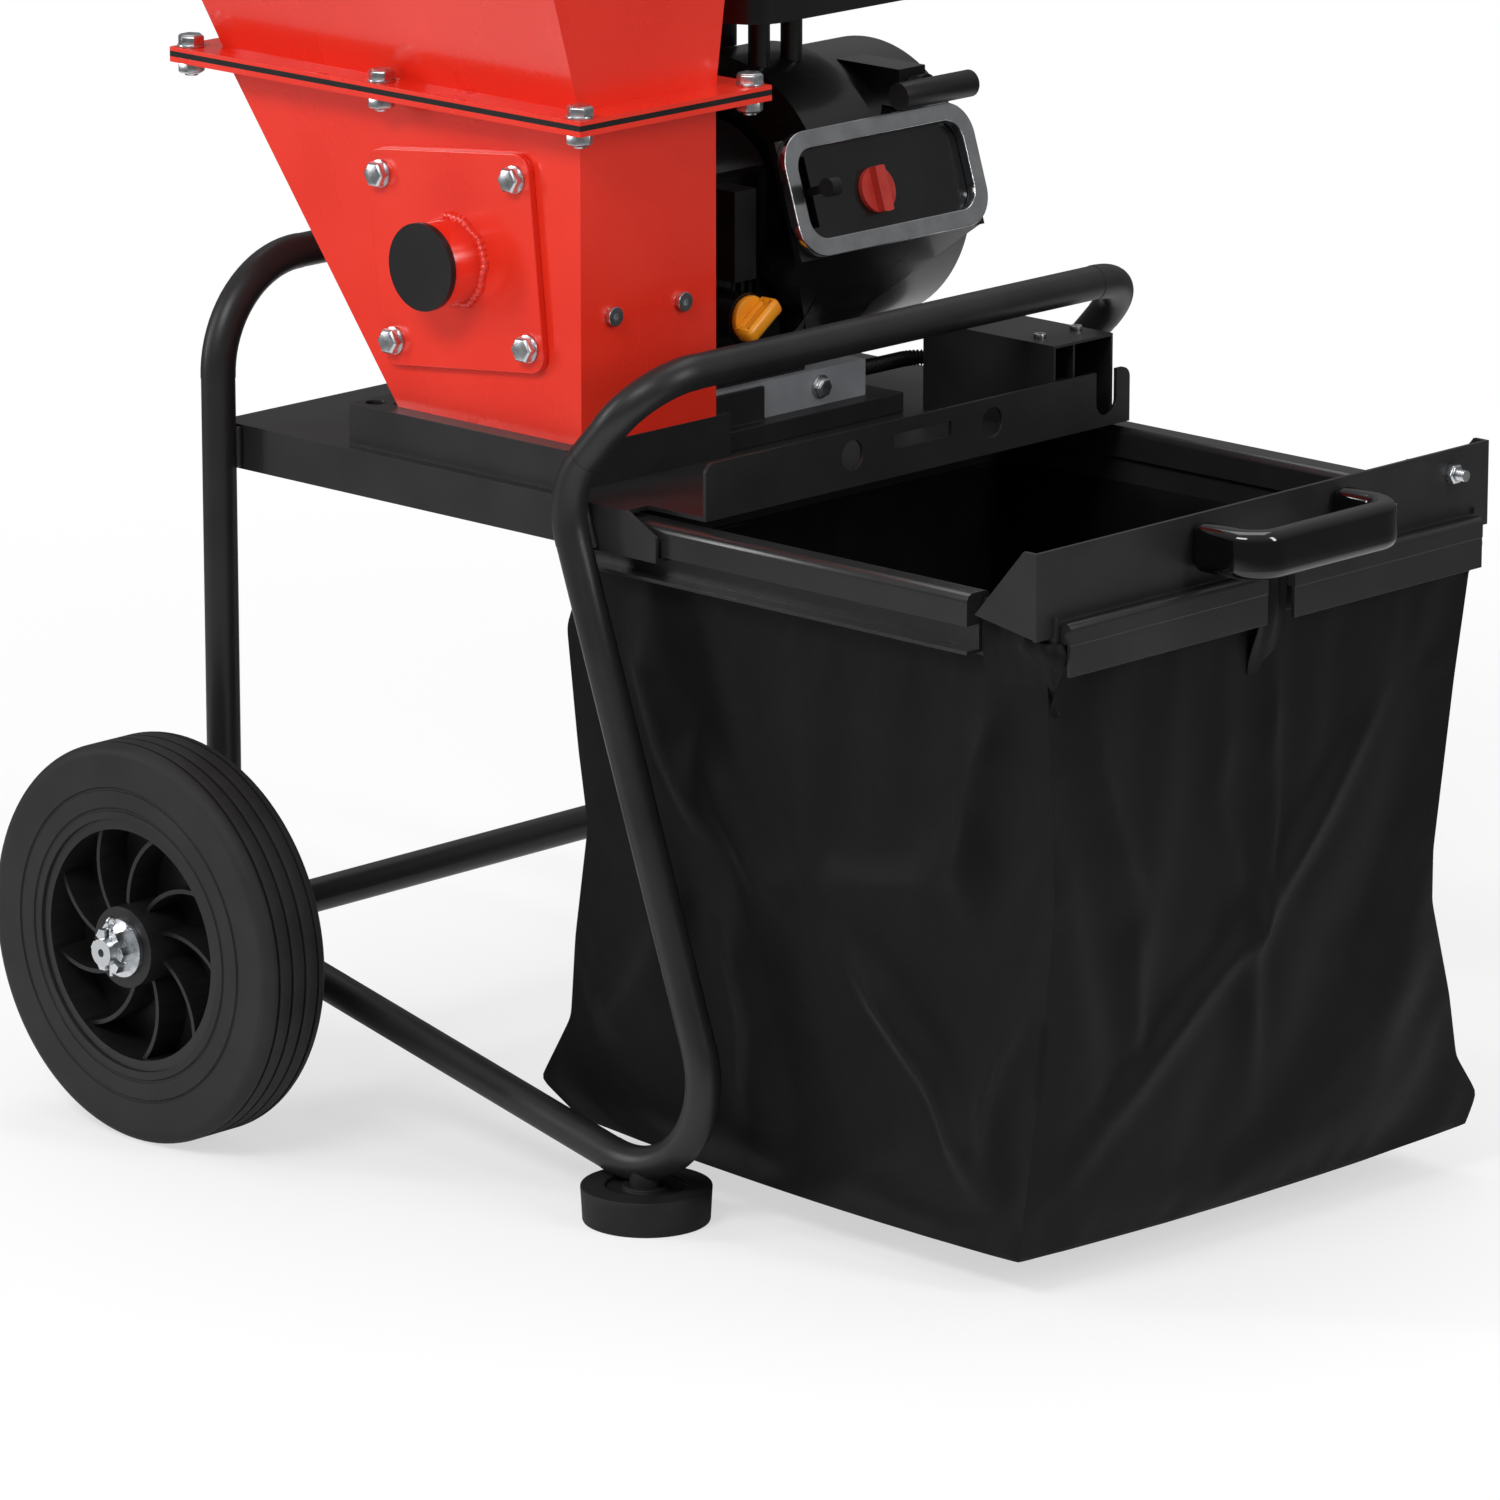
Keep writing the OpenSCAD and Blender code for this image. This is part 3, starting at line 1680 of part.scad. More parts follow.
module mount_channels() {
  color("#8b8d90")
    difference() {
      union() {
        mount_channel(front_channel_x);
        mount_channel(rear_channel_x);
      }
      engine_bolt_places() cylinder(d = m8 + hole_gap, h = 60, center = true);
      rod_x(far_y + 128, engine_z - 13, m8 + hole_gap, front_channel_x, front_channel_x + channel_w);
    }
}

module engine_rail(x) {
  over = 14;
  difference() {
    block(x - channel_w / 2 - over, x + channel_w / 2 + over, channel_y0, rail_y1, deck_z, deck_z + rail_h);
    block(x - channel_w / 2 - over + 3, x + channel_w / 2 + over - 3, channel_y0 - 1, rail_y1 + 1,
      deck_z - 1, deck_z + rail_h - 3);
  }
}

module engine_rails() {
  color("#262627") {
    engine_rail(front_channel_x);
    engine_rail(rear_channel_x);
    block(front_channel_x + channel_w / 2 + 1, front_channel_x + channel_w / 2 + 4, channel_y0, far_y + 66,
      deck_z + rail_h, engine_z - 2);
  }
}

// Switch box
module box_screw_places() {
  for (y = [box_y0 + 16, box_y1 - 9])
    translate([box_front - 28, y, box_top])
      rotate([180, 0, 0])
        children();
}

module switch_box() {
  color("#29292a")
    difference() {
      union() {
        difference() {
          block(box_rear, box_front, box_y0, box_y1, deck_z, box_top);
          block(box_rear + box_t, box_front + 1, box_y0 + box_t, box_y1 - box_t, deck_z - 1,
            box_top - box_t);
        }
        block(box_front - 50, box_front - 2, box_y0 + 23, box_y0 + 25, box_top - 28, box_top - box_t + 0.5);
      }
      rod_x(conduit_in_y, conduit_z, conduit_d + hole_gap, box_rear - 1, box_rear + box_t + 1);
      box_screw_places() cylinder(d = 4 + hole_gap, h = 20, center = true);
    }
}

module safety_switch() {
  color("#1c1c1d")
    difference() {
      block(switch_front - switch_l, switch_front, latch_y - 14, box_y1 - box_t, latch_z - switch_h / 2,
        latch_z + switch_h / 2);
      rod_x(latch_y, latch_z, plunger_d + run_gap, switch_front - 14, switch_front + 1);
    }
}

module switch_plunger() {
  color("#d8d2c4")
    rod_x(latch_y, latch_z, plunger_d, switch_front - 14 + plunger_travel + 1, plunger_tip);
}

// Ribbed conduit: rings along a straight run, a quarter turn and a short entry
conduit_turn_x = conduit_x + conduit_turn_r;
conduit_run = conduit_in_y - conduit_turn_r - conduit_y0;
conduit_arc = conduit_turn_r * PI / 2;
conduit_entry = box_rear + 8 - conduit_turn_x;
conduit_l = conduit_run + conduit_arc + conduit_entry;
conduit_plain = conduit_d;
conduit_ribs = floor((conduit_l - 2 * conduit_plain) / conduit_pitch);
conduit_bore = conduit_d - 4;
conduit_sides = 8;

function route_at(s) =
  s < conduit_run ? [conduit_x, conduit_y0 + s, conduit_z]
  : s < conduit_run + conduit_arc
    ? let(a = (s - conduit_run) / conduit_turn_r * 180 / PI)
      [
        conduit_turn_x - conduit_turn_r * cos(a),
        conduit_in_y - conduit_turn_r + conduit_turn_r * sin(a),
        conduit_z
      ]
  : [conduit_turn_x + s - conduit_run - conduit_arc, conduit_in_y, conduit_z];
function heading_at(s) =
  s < conduit_run ? 0 : s > conduit_run + conduit_arc ? 90 : (s - conduit_run) / conduit_turn_r * 180 / PI;
function ring_at(s, d) = [
  for (k = [0 : conduit_sides - 1])
    let(a = (k + 0.5) * 360 / conduit_sides, h = heading_at(s), c = d / 2 * cos(a))
      route_at(s) + [c * cos(h), -c * sin(h), d / 2 * sin(a)]
];
function skin(rings, first) = [
  for (i = [0 : rings - 2], k = [0 : conduit_sides - 1], t = [0, 1])
    let(a = first + i * conduit_sides, n = (k + 1) % conduit_sides)
      t == 0 ? [a + k, a + n, a + conduit_sides + k] : [a + n, a + conduit_sides + n, a + conduit_sides + k]
];

module conduit() {
  rib_s = [for (i = [0 : conduit_ribs - 1], t = [0.25, 0.75]) conduit_plain + (i + t) * conduit_pitch];
  rib_d = [for (i = [0 : conduit_ribs - 1], t = [0, 1]) t == 0 ? conduit_d : conduit_d - 2.4];
  outer_s = concat([0, conduit_plain * 0.9], rib_s, [conduit_l - conduit_plain * 0.9, conduit_l]);
  outer_d = concat([conduit_d - 1, conduit_d - 1], rib_d, [conduit_d - 1, conduit_d - 1]);
  outer = len(outer_s);
  bore_s = [for (i = [0 : 24]) conduit_l * (1 - i / 24)];
  bore = len(bore_s);
  outer_rings = [for (i = [0 : outer - 1]) each ring_at(outer_s[i], outer_d[i])];
  bore_rings = [for (s = bore_s) each ring_at(s, conduit_bore)];
  wrap = [
    for (k = [0 : conduit_sides - 1], t = [0, 1])
      let(a = (outer + bore - 1) * conduit_sides, n = (k + 1) % conduit_sides)
        t == 0 ? [a + k, a + n, k] : [a + n, n, k]
  ];
  color("#1e1e1f")
    polyhedron(points = concat(outer_rings, bore_rings), faces = concat(skin(outer + bore, 0), wrap));
}

// Bag drawer
module drawer_frame() {
  half = plate_l / 2;
  color("#2e2e2f")
    difference() {
      union() {
        both_sides() {
          block(drawer_rear, drawer_front, web_in, web_out, frame_low, frame_top);
          slab_xz([[plate_x - plate_t2, plate_top], [plate_x - plate_t2, plate_low + 1],
            [plate_x - plate_t2 - gusset_l, gusset_z], [plate_x - plate_t2 - gusset_flat, plate_top]],
            half - plate_t2, half);
        }
        block(drawer_rear, drawer_rear + web_t, -web_out, web_out, frame_low, frame_top);
        block(plate_x, drawer_front, -web_out, web_out, frame_low, frame_top - 4);
        block(plate_x - plate_t2, plate_x, -half, half, plate_low, plate_top);
      }
      rod_x(latch_y, latch_z, m8 + hole_gap, plate_x - 10, plate_x + 10);
    }
}

module rim_strips() {
  slot_out = web_out + slide_gap;
  slot_in = web_in - slide_gap;
  bar_in = web_in - 5;
  strip_rear = drawer_rear + web_t + slide_gap;
  color("#242426") {
    both_sides()
      difference() {
        union() {
          block(strip_rear, strip_front, bar_in, strip_out, bar_z, bar_z + bar_h - 6);
          block(strip_rear, strip_front, bar_in + 6, strip_out - 6, bar_z, bar_z + bar_h);
          for (y = [bar_in + 6, strip_out - 6])
            rod_x(y, bar_z + bar_h - 6, 12, strip_rear, strip_front);
          block(strip_rear, strip_front, slot_out, slot_out + strip_wall, lip_z, bar_z + 1);
          block(strip_rear, strip_front, slot_out, strip_out, lip_z, lip_z + lip_t);
        }
        block(drawer_rear - 1, strip_front + 1, slot_in, slot_out, lip_z - 1, frame_top + slide_gap);
      }
    both_sides() {
      block(drawer_front + sit, drawer_front + 10, front_break / 2, front_strip_w / 2, frame_top - 19,
        frame_top - 9);
      rod_y(drawer_front + 5.1, frame_top - 9, 9.8, front_break / 2, front_strip_w / 2);
      block(drawer_front + 6.5, drawer_front + 9.5, front_break / 2, front_strip_w / 2, lip_z - 6,
        frame_top - 18);
    }
  }
}

module d_handle() {
  corner = 30;
  color("#161617")
    translate([plate_x + sit, 0, latch_z - 5 - handle_h / 2])
      linear_extrude(handle_h)
        intersection() {
          difference() {
            round_rect(2 * handle_reach - 2 * sit, handle_l, corner);
            round_rect(2 * handle_reach - 2 * handle_t, handle_l - 2 * handle_t, corner - 14);
          }
          translate([0, -handle_l])
            square([2 * handle_l, 2 * handle_l]);
        }
}

module latch_bolt() {
  color("#c9ccd0")
    translate([0, latch_y, latch_z])
      rotate([0, 90, 0]) {
        translate([0, 0, stud_tip])
          cylinder(d = m8, h = stud_front - stud_tip);
        for (x = [plate_x, plate_x - plate_t2 - 6.5])
          translate([0, 0, x])
            linear_extrude(6.5)
              difference() {
                hexagon(m8_af);
                circle(d = m8 + hole_gap);
              }
      }
}

// Bag outlines: side view in x and z, end view in y and z
function bag_side(inset) = [
  [drawer_rear + inset, bag_top + inset * 2],
  [drawer_rear + 16 + inset, bag_top - 155],
  [axle_clear + inset, axle_z + 22],
  [axle_clear + inset, axle_z - 17],
  [axle_clear - 50 + inset, axle_z - 34],
  [axle_clear - 56 + inset, bag_low + 20],
  [axle_clear - 34 + inset, bag_low + inset],
  [drawer_front - 26 - inset, bag_low + inset],
  [drawer_front - 12 - inset, bag_low + 34],
  [drawer_front - 2 - inset, bag_top - 160],
  [drawer_front - inset, bag_top + inset * 2]
];
function bag_end(inset) = [
  [-web_out + inset, bag_top + inset * 2],
  [-web_out + 2 + inset, bag_top - 200],
  [-web_out - 4 + inset, bag_low + 30],
  [-web_out + 12 + inset, bag_low + inset],
  [web_out - 12 - inset, bag_low + inset],
  [web_out + 4 - inset, bag_low + 30],
  [web_out - 2 - inset, bag_top - 200],
  [web_out - inset, bag_top + inset * 2]
];
// Foremost place of the bag's rear wall, clear of the axle when the drawer is shut
axle_clear = axle_x + tube_d / 2 + 4 + drawer_travel;

module bag_form(inset) {
  intersection() {
    slab_xz(bag_side(inset), -frame_w, frame_w);
    slab_yz(bag_end(inset), -frame_w - wheelbase, frame_w + wheelbase);
  }
}

module bag() {
  color("#1d1d1e")
    difference() {
      bag_form(0);
      bag_form(bag_t);
    }
}

place() rear_frame_tube();
place() front_frame_tube();
place() axle();
place() axle_spacers();
place() axle_fasteners();
place() feet();
place() foot_bolts();
place() deck();
place() housing_base();
place() housing();
place() bearing_plate();
place() bearing_cap();
place() rotor_bearing();
place() hex_bolts();
place() button_screws();
place() wear_plate();
place() counter_blade();
place() hopper();
place() feed_curtain();
place() crankcase();
place() crankcase_cover();
place() cylinder_barrel();  // cylinder
place() rocker_cover();
place() spark_plug();
place() carburettor();
place() air_filter();
place() muffler();
place() fuel_tank();
place() blower_housing();
place() recoil_cover();
place() trim_panel();
place() governor_unit();
place() engine_rails();
place() mount_channels();
place() flange_bolts();
place() switch_box();
place() safety_switch();
place() conduit();
place() left_tyre();
place() left_hub();
place() right_tyre();
place() right_hub();
place() rotor();
place() knives();
place() knife_bolts();
place() crankshaft();
place() flywheel();
place() dipstick();
place() fuel_cap();
place() starter_grip();
place() throttle_lever();
place() choke_lever();
place() fuel_lever();
place() stop_switch();
place() switch_plunger();
place() drawer_frame();
place() rim_strips();
place() d_handle();
place() latch_bolt();
place() bag();
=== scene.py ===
import json
import math

import bmesh
import bpy
from mathutils import Matrix, Vector


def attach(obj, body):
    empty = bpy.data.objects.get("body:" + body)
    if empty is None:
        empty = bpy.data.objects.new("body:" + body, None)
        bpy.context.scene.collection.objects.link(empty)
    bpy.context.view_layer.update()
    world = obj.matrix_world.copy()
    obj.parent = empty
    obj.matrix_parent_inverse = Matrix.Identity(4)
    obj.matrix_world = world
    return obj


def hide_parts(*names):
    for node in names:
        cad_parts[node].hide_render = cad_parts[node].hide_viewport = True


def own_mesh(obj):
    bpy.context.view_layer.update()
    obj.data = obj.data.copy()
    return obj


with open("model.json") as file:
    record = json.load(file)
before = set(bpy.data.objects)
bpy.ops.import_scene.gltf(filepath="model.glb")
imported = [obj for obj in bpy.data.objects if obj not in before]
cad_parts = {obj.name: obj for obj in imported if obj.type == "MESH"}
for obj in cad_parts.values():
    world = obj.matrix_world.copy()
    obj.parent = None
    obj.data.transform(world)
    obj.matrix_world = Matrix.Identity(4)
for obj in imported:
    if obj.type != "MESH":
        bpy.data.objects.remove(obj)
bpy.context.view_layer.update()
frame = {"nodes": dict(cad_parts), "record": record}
nodes = frame["nodes"]

# All lengths are metres; MM turns millimetres into metres.
# FOOT_X is the near foot's centre along the machine.
MM = 0.001
FOOT_X = 0.068


# ---------------------------------------------------------------- materials
def srgb(code):
    """Linear RGBA of an sRGB hex value."""
    parts = [int(code[i:i + 2], 16) / 255 for i in (1, 3, 5)]
    return [c / 12.92 if c <= 0.04045 else ((c + 0.055) / 1.055) ** 2.4 for c in parts] + [1.0]


def add(tree, kind, links=None, **settings):
    """Adds a shader node, sets its sockets and properties, and links its inputs."""
    n = tree.nodes.new(kind)
    for key, value in settings.items():
        name = key.replace("_", " ")
        if hasattr(n, key):
            setattr(n, key, value)
        else:
            n.inputs[name if name in n.inputs else key].default_value = value
    for key, source in (links or {}).items():
        tree.links.new(source, n.inputs[key])
    return n


def surface(name, **principled):
    """A new material with one Principled shader; returns material, tree and shader."""
    m = bpy.data.materials.new(name)
    m.use_nodes = True
    tree = m.node_tree
    shader = tree.nodes["Principled BSDF"]
    for key, value in principled.items():
        shader.inputs[key.replace("_", " ")].default_value = value
    return m, tree, shader


def grain(tree, shader, size_mm, height_mm, strength, detail=3.0):
    """Fine bumps of a given size and height, by Object coordinates."""
    where = add(tree, "ShaderNodeTexCoord")
    noise = add(tree, "ShaderNodeTexNoise", {"Vector": where.outputs["Object"]},
                Scale=1 / (size_mm * MM), Detail=detail)
    bump = add(tree, "ShaderNodeBump", {"Height": noise.outputs["Fac"]},
               Strength=strength, Distance=height_mm * MM)
    tree.links.new(bump.outputs["Normal"], shader.inputs["Normal"])
    return where, noise


def mottle(tree, shader, where, size_mm, dark, light, rough):
    """Slow change of colour and of roughness over a surface."""
    noise = add(tree, "ShaderNodeTexNoise", {"Vector": where.outputs["Object"]},
                Scale=1 / (size_mm * MM), Detail=4.0)
    ramp = add(tree, "ShaderNodeValToRGB", {"Fac": noise.outputs["Fac"]})
    ramp.color_ramp.interpolation = "EASE"
    ramp.color_ramp.elements[0].position = 0.25
    ramp.color_ramp.elements[1].position = 0.75
    ramp.color_ramp.elements[0].color = srgb(dark)
    ramp.color_ramp.elements[1].color = srgb(light)
    tree.links.new(ramp.outputs["Color"], shader.inputs["Base Color"])
    spread = add(tree, "ShaderNodeMapRange", {"Value": noise.outputs["Fac"]}, To_Min=rough[0], To_Max=rough[1])
    tree.links.new(spread.outputs["Result"], shader.inputs["Roughness"])


def plain(name, bumps, patches, **principled):
    """A material with fine bumps and slow mottling, from the values that grain() and mottle() take."""
    m, tree, shader = surface(name, **principled)
    where, _ = grain(tree, shader, *bumps)
    mottle(tree, shader, where, *patches)
    return m


def lined(name, stretch, depth_mm, patches, **principled):
    """A material with fine lines along the direction that stretch leaves long, and slow mottling."""
    m, tree, shader = surface(name, **principled)
    where = add(tree, "ShaderNodeTexCoord")
    lines = add(tree, "ShaderNodeMapping", {"Vector": where.outputs["Object"]}, Scale=stretch)
    noise = add(tree, "ShaderNodeTexNoise", {"Vector": lines.outputs["Vector"]}, Scale=1.0, Detail=2.0)
    bump = add(tree, "ShaderNodeBump", {"Height": noise.outputs["Fac"]}, Strength=0.2, Distance=depth_mm * MM)
    tree.links.new(bump.outputs["Normal"], shader.inputs["Normal"])
    mottle(tree, shader, where, *patches)
    return m


def powder_coat():
    # Polyester powder coat on steel: satin black, with a very fine orange peel
    return plain("powder_coated_steel_black", (1.6, 0.05, 0.25), (60, "#1f1f20", "#262627", (0.34, 0.44)),
                 IOR=1.5, Specular_IOR_Level=0.35)


def red_enamel():
    # Stoved alkyd enamel on sheet steel: bright red gloss with a slow orange peel
    return plain("stoved_enamel_red", (7, 0.05, 0.1, 1.0), (120, "#E52B18", "#EE3420", (0.24, 0.32)),
                 IOR=1.52, Coat_Weight=0.35, Coat_Roughness=0.08)


def axle_finish():
    # Axle bar: powder coated between the wheels, zinc plated where the hubs run and the nuts sit
    zinc_from = 0.3
    m, t, s = surface("powder_coated_bar_with_zinc_ends", IOR=1.5)
    where, noise = grain(t, s, 1.4, 0.03, 0.2)
    axes = add(t, "ShaderNodeSeparateXYZ", {"Vector": where.outputs["Object"]})
    out = add(t, "ShaderNodeMath", {0: axes.outputs["Y"]}, operation="ABSOLUTE")
    bare = add(t, "ShaderNodeMath", {0: out.outputs["Value"]}, operation="GREATER_THAN")
    bare.inputs[1].default_value = zinc_from
    tone = add(t, "ShaderNodeValToRGB", {"Fac": bare.outputs["Value"]})
    tone.color_ramp.elements[0].color = srgb("#222223")
    tone.color_ramp.elements[1].color = srgb("#C6CACD")
    t.links.new(tone.outputs["Color"], s.inputs["Base Color"])
    t.links.new(bare.outputs["Value"], s.inputs["Metallic"])
    rough = add(t, "ShaderNodeMapRange", {"Value": noise.outputs["Fac"]}, To_Min=0.28, To_Max=0.44)
    t.links.new(rough.outputs["Result"], s.inputs["Roughness"])
    return m


def foot_rubber():
    # Moulded natural rubber: matt black, with a slight bloom
    return plain("moulded_rubber_black", (2.5, 0.12, 0.4), (25, "#161616", "#1e1e1e", (0.55, 0.7)),
                 IOR=1.52, Specular_IOR_Level=0.25)


def tyre_rubber():
    # Foamed rubber tyre: charcoal and dull
    return plain("foamed_rubber_charcoal", (3.0, 0.15, 0.35), (40, "#1f1f20", "#272728", (0.55, 0.7)),
                 IOR=1.5, Specular_IOR_Level=0.25)


def hub_plastic():
    # Injection-moulded polypropylene: black, low sheen, spark-eroded grain
    return plain("moulded_polypropylene_black", (1.4, 0.05, 0.3), (50, "#111112", "#171718", (0.34, 0.44)),
                 IOR=1.49, Specular_IOR_Level=0.35)


def strip_plastic():
    # Extruded PVC clip strip: black with a soft shine along its length
    return lined("extruded_pvc_black", (4.0, 4.0, 600.0), 0.05, (70, "#1f1f20", "#262627", (0.22, 0.3)),
                 IOR=1.53, Specular_IOR_Level=0.45)


def zinc():
    # Zinc-plated steel: pale, slightly blue, with a fine grain
    return plain("zinc_plated_steel", (1.2, 0.02, 0.2), (6, "#BFC3C6", "#DADDE0", (0.22, 0.36)), Metallic=1.0)


def dark_screw():
    # Oiled black-oxide steel
    return plain("black_oxide_steel", (1.0, 0.02, 0.2), (6, "#4b4d50", "#686a6e", (0.3, 0.42)), Metallic=1.0)


def ground_steel():
    # Ground tool steel: grey with the lay of the grinding wheel
    return lined("ground_tool_steel", (900.0, 12.0, 900.0), 0.03, (30, "#8c8f93", "#a6a9ad", (0.28, 0.42)),
                 Metallic=1.0)


def engine_paint():
    # Black engine enamel over castings and pressed covers
    return plain("engine_enamel_black", (4, 0.08, 0.25), (50, "#0d0d0e", "#131314", (0.2, 0.32)),
                 IOR=1.52, Coat_Weight=0.25, Coat_Roughness=0.1)


def cast_aluminium():
    # Sand-cast aluminium: pale grey and grainy
    return plain("cast_aluminium", (1.5, 0.15, 0.5), (20, "#9fa2a6", "#bfc2c5", (0.42, 0.58)), Metallic=1.0)


def moulded_black():
    # Moulded nylon: black, satin
    return plain("moulded_nylon_black", (1.2, 0.05, 0.3), (30, "#0e0e0f", "#151516", (0.34, 0.46)),
                 IOR=1.53, Specular_IOR_Level=0.35)


def muffler_paint():
    # Heat-proof silicone paint: dark grey, dead matt
    return plain("heat_proof_paint_grey", (1.0, 0.08, 0.4), (30, "#3c3d3f", "#4b4c4e", (0.66, 0.8)), IOR=1.5)


def bright_trim():
    # Satin-chromed plastic trim
    return plain("satin_chrome", (3.0, 0.02, 0.1), (20, "#c3c6ca", "#d6d9dc", (0.14, 0.22)), Metallic=1.0)


def grey_paint():
    # Grey primer paint on pressed steel
    return plain("painted_steel_grey", (2.0, 0.06, 0.3), (30, "#808286", "#8f9195", (0.4, 0.5)), IOR=1.5)


def orange_plastic():
    # Moulded nylon dyed orange
    return plain("moulded_nylon_orange", (2.0, 0.04, 0.2), (20, "#EE8E10", "#F8A01C", (0.26, 0.36)), IOR=1.53)


def red_plastic():
    # Moulded nylon dyed red
    return plain("moulded_nylon_red", (2.0, 0.04, 0.2), (20, "#A82A22", "#BA352C", (0.3, 0.4)), IOR=1.53)


def plunger_plastic():
    # Acetal: ivory, waxy
    return plain("acetal_ivory", (1.0, 0.02, 0.2), (5, "#D6CFBE", "#E2DCCD", (0.3, 0.4)),
                 IOR=1.48, Subsurface_Weight=0.1)


def handle_gloss():
    # Polished phenolic: deep black with a wet shine
    return plain("polished_phenolic_black", (9.0, 0.03, 0.1, 1.0), (40, "#050506", "#08080a", (0.06, 0.1)),
                 IOR=1.55, Coat_Weight=0.2, Coat_Roughness=0.03)


def bag_fabric():
    # PU-backed woven polyester: black twill; threads of 0.6 mm are drawn 2.6 mm wide so that they show
    rib, thread = 2.6 * MM, 1.3 * MM
    m, t, s = surface("woven_polyester_black", IOR=1.46, Specular_IOR_Level=0.16,
                      Sheen_Weight=0.05, Sheen_Roughness=0.35)
    where = add(t, "ShaderNodeTexCoord")
    twill = add(t, "ShaderNodeTexWave", {"Vector": where.outputs["Object"]}, wave_type="BANDS",
                bands_direction="DIAGONAL", Scale=2 * math.pi / (10 * rib), Distortion=0.6,
                Detail=1.0, Detail_Scale=1.5)
    threads = add(t, "ShaderNodeTexNoise", {"Vector": where.outputs["Object"]}, Scale=1 / thread, Detail=2.0)
    both = add(t, "ShaderNodeMath", {0: twill.outputs["Fac"], 1: threads.outputs["Fac"]},
               operation="MULTIPLY")
    bump = add(t, "ShaderNodeBump", {"Height": both.outputs["Value"]}, Strength=0.35, Distance=0.25 * MM)
    t.links.new(bump.outputs["Normal"], s.inputs["Normal"])
    mottle(t, s, where, 45, "#090909", "#0e0e0f", (0.52, 0.64))
    return m


finish = {
    "black_paint": powder_coat(), "zinc": zinc(), "dark_screws": dark_screw(), "foot_rubber": foot_rubber(),
    "tyre_rubber": tyre_rubber(), "hub_plastic": hub_plastic(), "red_paint": red_enamel(),
    "bearing_steel": ground_steel(), "tool_steel": ground_steel(), "engine_black": engine_paint(),
    "cast_aluminium": cast_aluminium(), "moulded_black": moulded_black(), "muffler_steel": muffler_paint(),
    "silver_trim": bright_trim(), "grey_paint": grey_paint(), "orange_plastic": orange_plastic(),
    "red_plastic": red_plastic(), "plunger_plastic": plunger_plastic(), "handle_gloss": handle_gloss(),
    "bag_fabric": bag_fabric(),
}
special = {"rim_strips": strip_plastic(), "axle": axle_finish()}
slot_of = {p["node"]: p["material_slot"] for p in frame["record"]["subparts"]}
for name, obj in nodes.items():
    obj.data.materials.clear()
    obj.data.materials.append(special.get(name) or finish[slot_of[name]])


# ---------------------------------------------------------------- modelling helpers
def fresh(obj=None):
    """Object mode with nothing selected, or with only obj selected and active."""
    if bpy.context.object and bpy.context.object.mode != "OBJECT":
        bpy.ops.object.mode_set(mode="OBJECT")
    bpy.ops.object.select_all(action="DESELECT")
    if obj:
        obj.select_set(True)
        bpy.context.view_layer.objects.active = obj


def edit(obj):
    """Edit mode, on obj alone."""
    fresh(obj)
    bpy.ops.object.mode_set(mode="EDIT")


def pick(obj, kind, test):
    """In edit mode, selects only the faces, edges or vertices that pass a test."""
    bpy.ops.mesh.select_mode(type=kind)
    bpy.ops.mesh.select_all(action="DESELECT")
    bm = bmesh.from_edit_mesh(obj.data)
    for item in {"FACE": bm.faces, "EDGE": bm.edges, "VERT": bm.verts}[kind]:
        if test(item):
            item.select_set(True)
    bm.select_flush_mode()
    bmesh.update_edit_mesh(obj.data)


def modify(obj, kind, **settings):
    """Adds a modifier with its settings and applies it."""
    fresh(obj)
    m = obj.modifiers.new(kind.lower(), kind)
    for key, value in settings.items():
        setattr(m, key, value)
    bpy.ops.object.modifier_apply(modifier=m.name)


def settle(obj):
    """Place, turn and size go into the mesh, so that the object sits at the origin."""
    fresh(obj)
    bpy.ops.object.transform_apply(location=True, rotation=True, scale=True)


def join(objs, name):
    """Makes one object of several, under a new name."""
    fresh()
    for o in objs:
        o.select_set(True)
    bpy.context.view_layer.objects.active = objs[0]
    if len(objs) > 1:
        bpy.ops.object.join()
    obj = bpy.context.object
    obj.name = obj.data.name = name
    return obj


def copies(master, places):
    """One copy of master, with its own mesh, at each matrix; master itself goes."""
    made = []
    for place in places:
        o = master.copy()
        o.data = master.data.copy()
        bpy.context.collection.objects.link(o)
        o.matrix_world = place
        settle(o)
        made.append(o)
    bpy.data.objects.remove(master)
    return made


def dress(obj, name, material, body, slot, *replaced, angle=35):
    """Names a finished piece, smooths it, paints it and puts it on its body."""
    settle(obj)
    obj.name = obj.data.name = name
    bpy.ops.object.shade_smooth_by_angle(angle=math.radians(angle))
    obj.data.materials.clear()
    obj.data.materials.append(material)
    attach(obj, body)
    if replaced:
        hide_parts(*replaced)
    return obj


def at(x, y, z):
    """A point given in millimetres from the near foot's centre line, as metres in the shared frame."""
    return Vector((x * MM + FOOT_X, y * MM, z * MM))


def clamp(value):
    """Value held between 0 and 1."""
    return min(max(value, 0.0), 1.0)


def smooth(value):
    """Eased step for a value from 0 to 1."""
    return value * value * (3 - 2 * value)


def facing(point, direction):
    """Place, given as for at(), whose own Z points along direction."""
    turn = Vector(direction).to_track_quat("Z", "X").to_matrix().to_4x4()
    return Matrix.Translation(at(*point)) @ turn


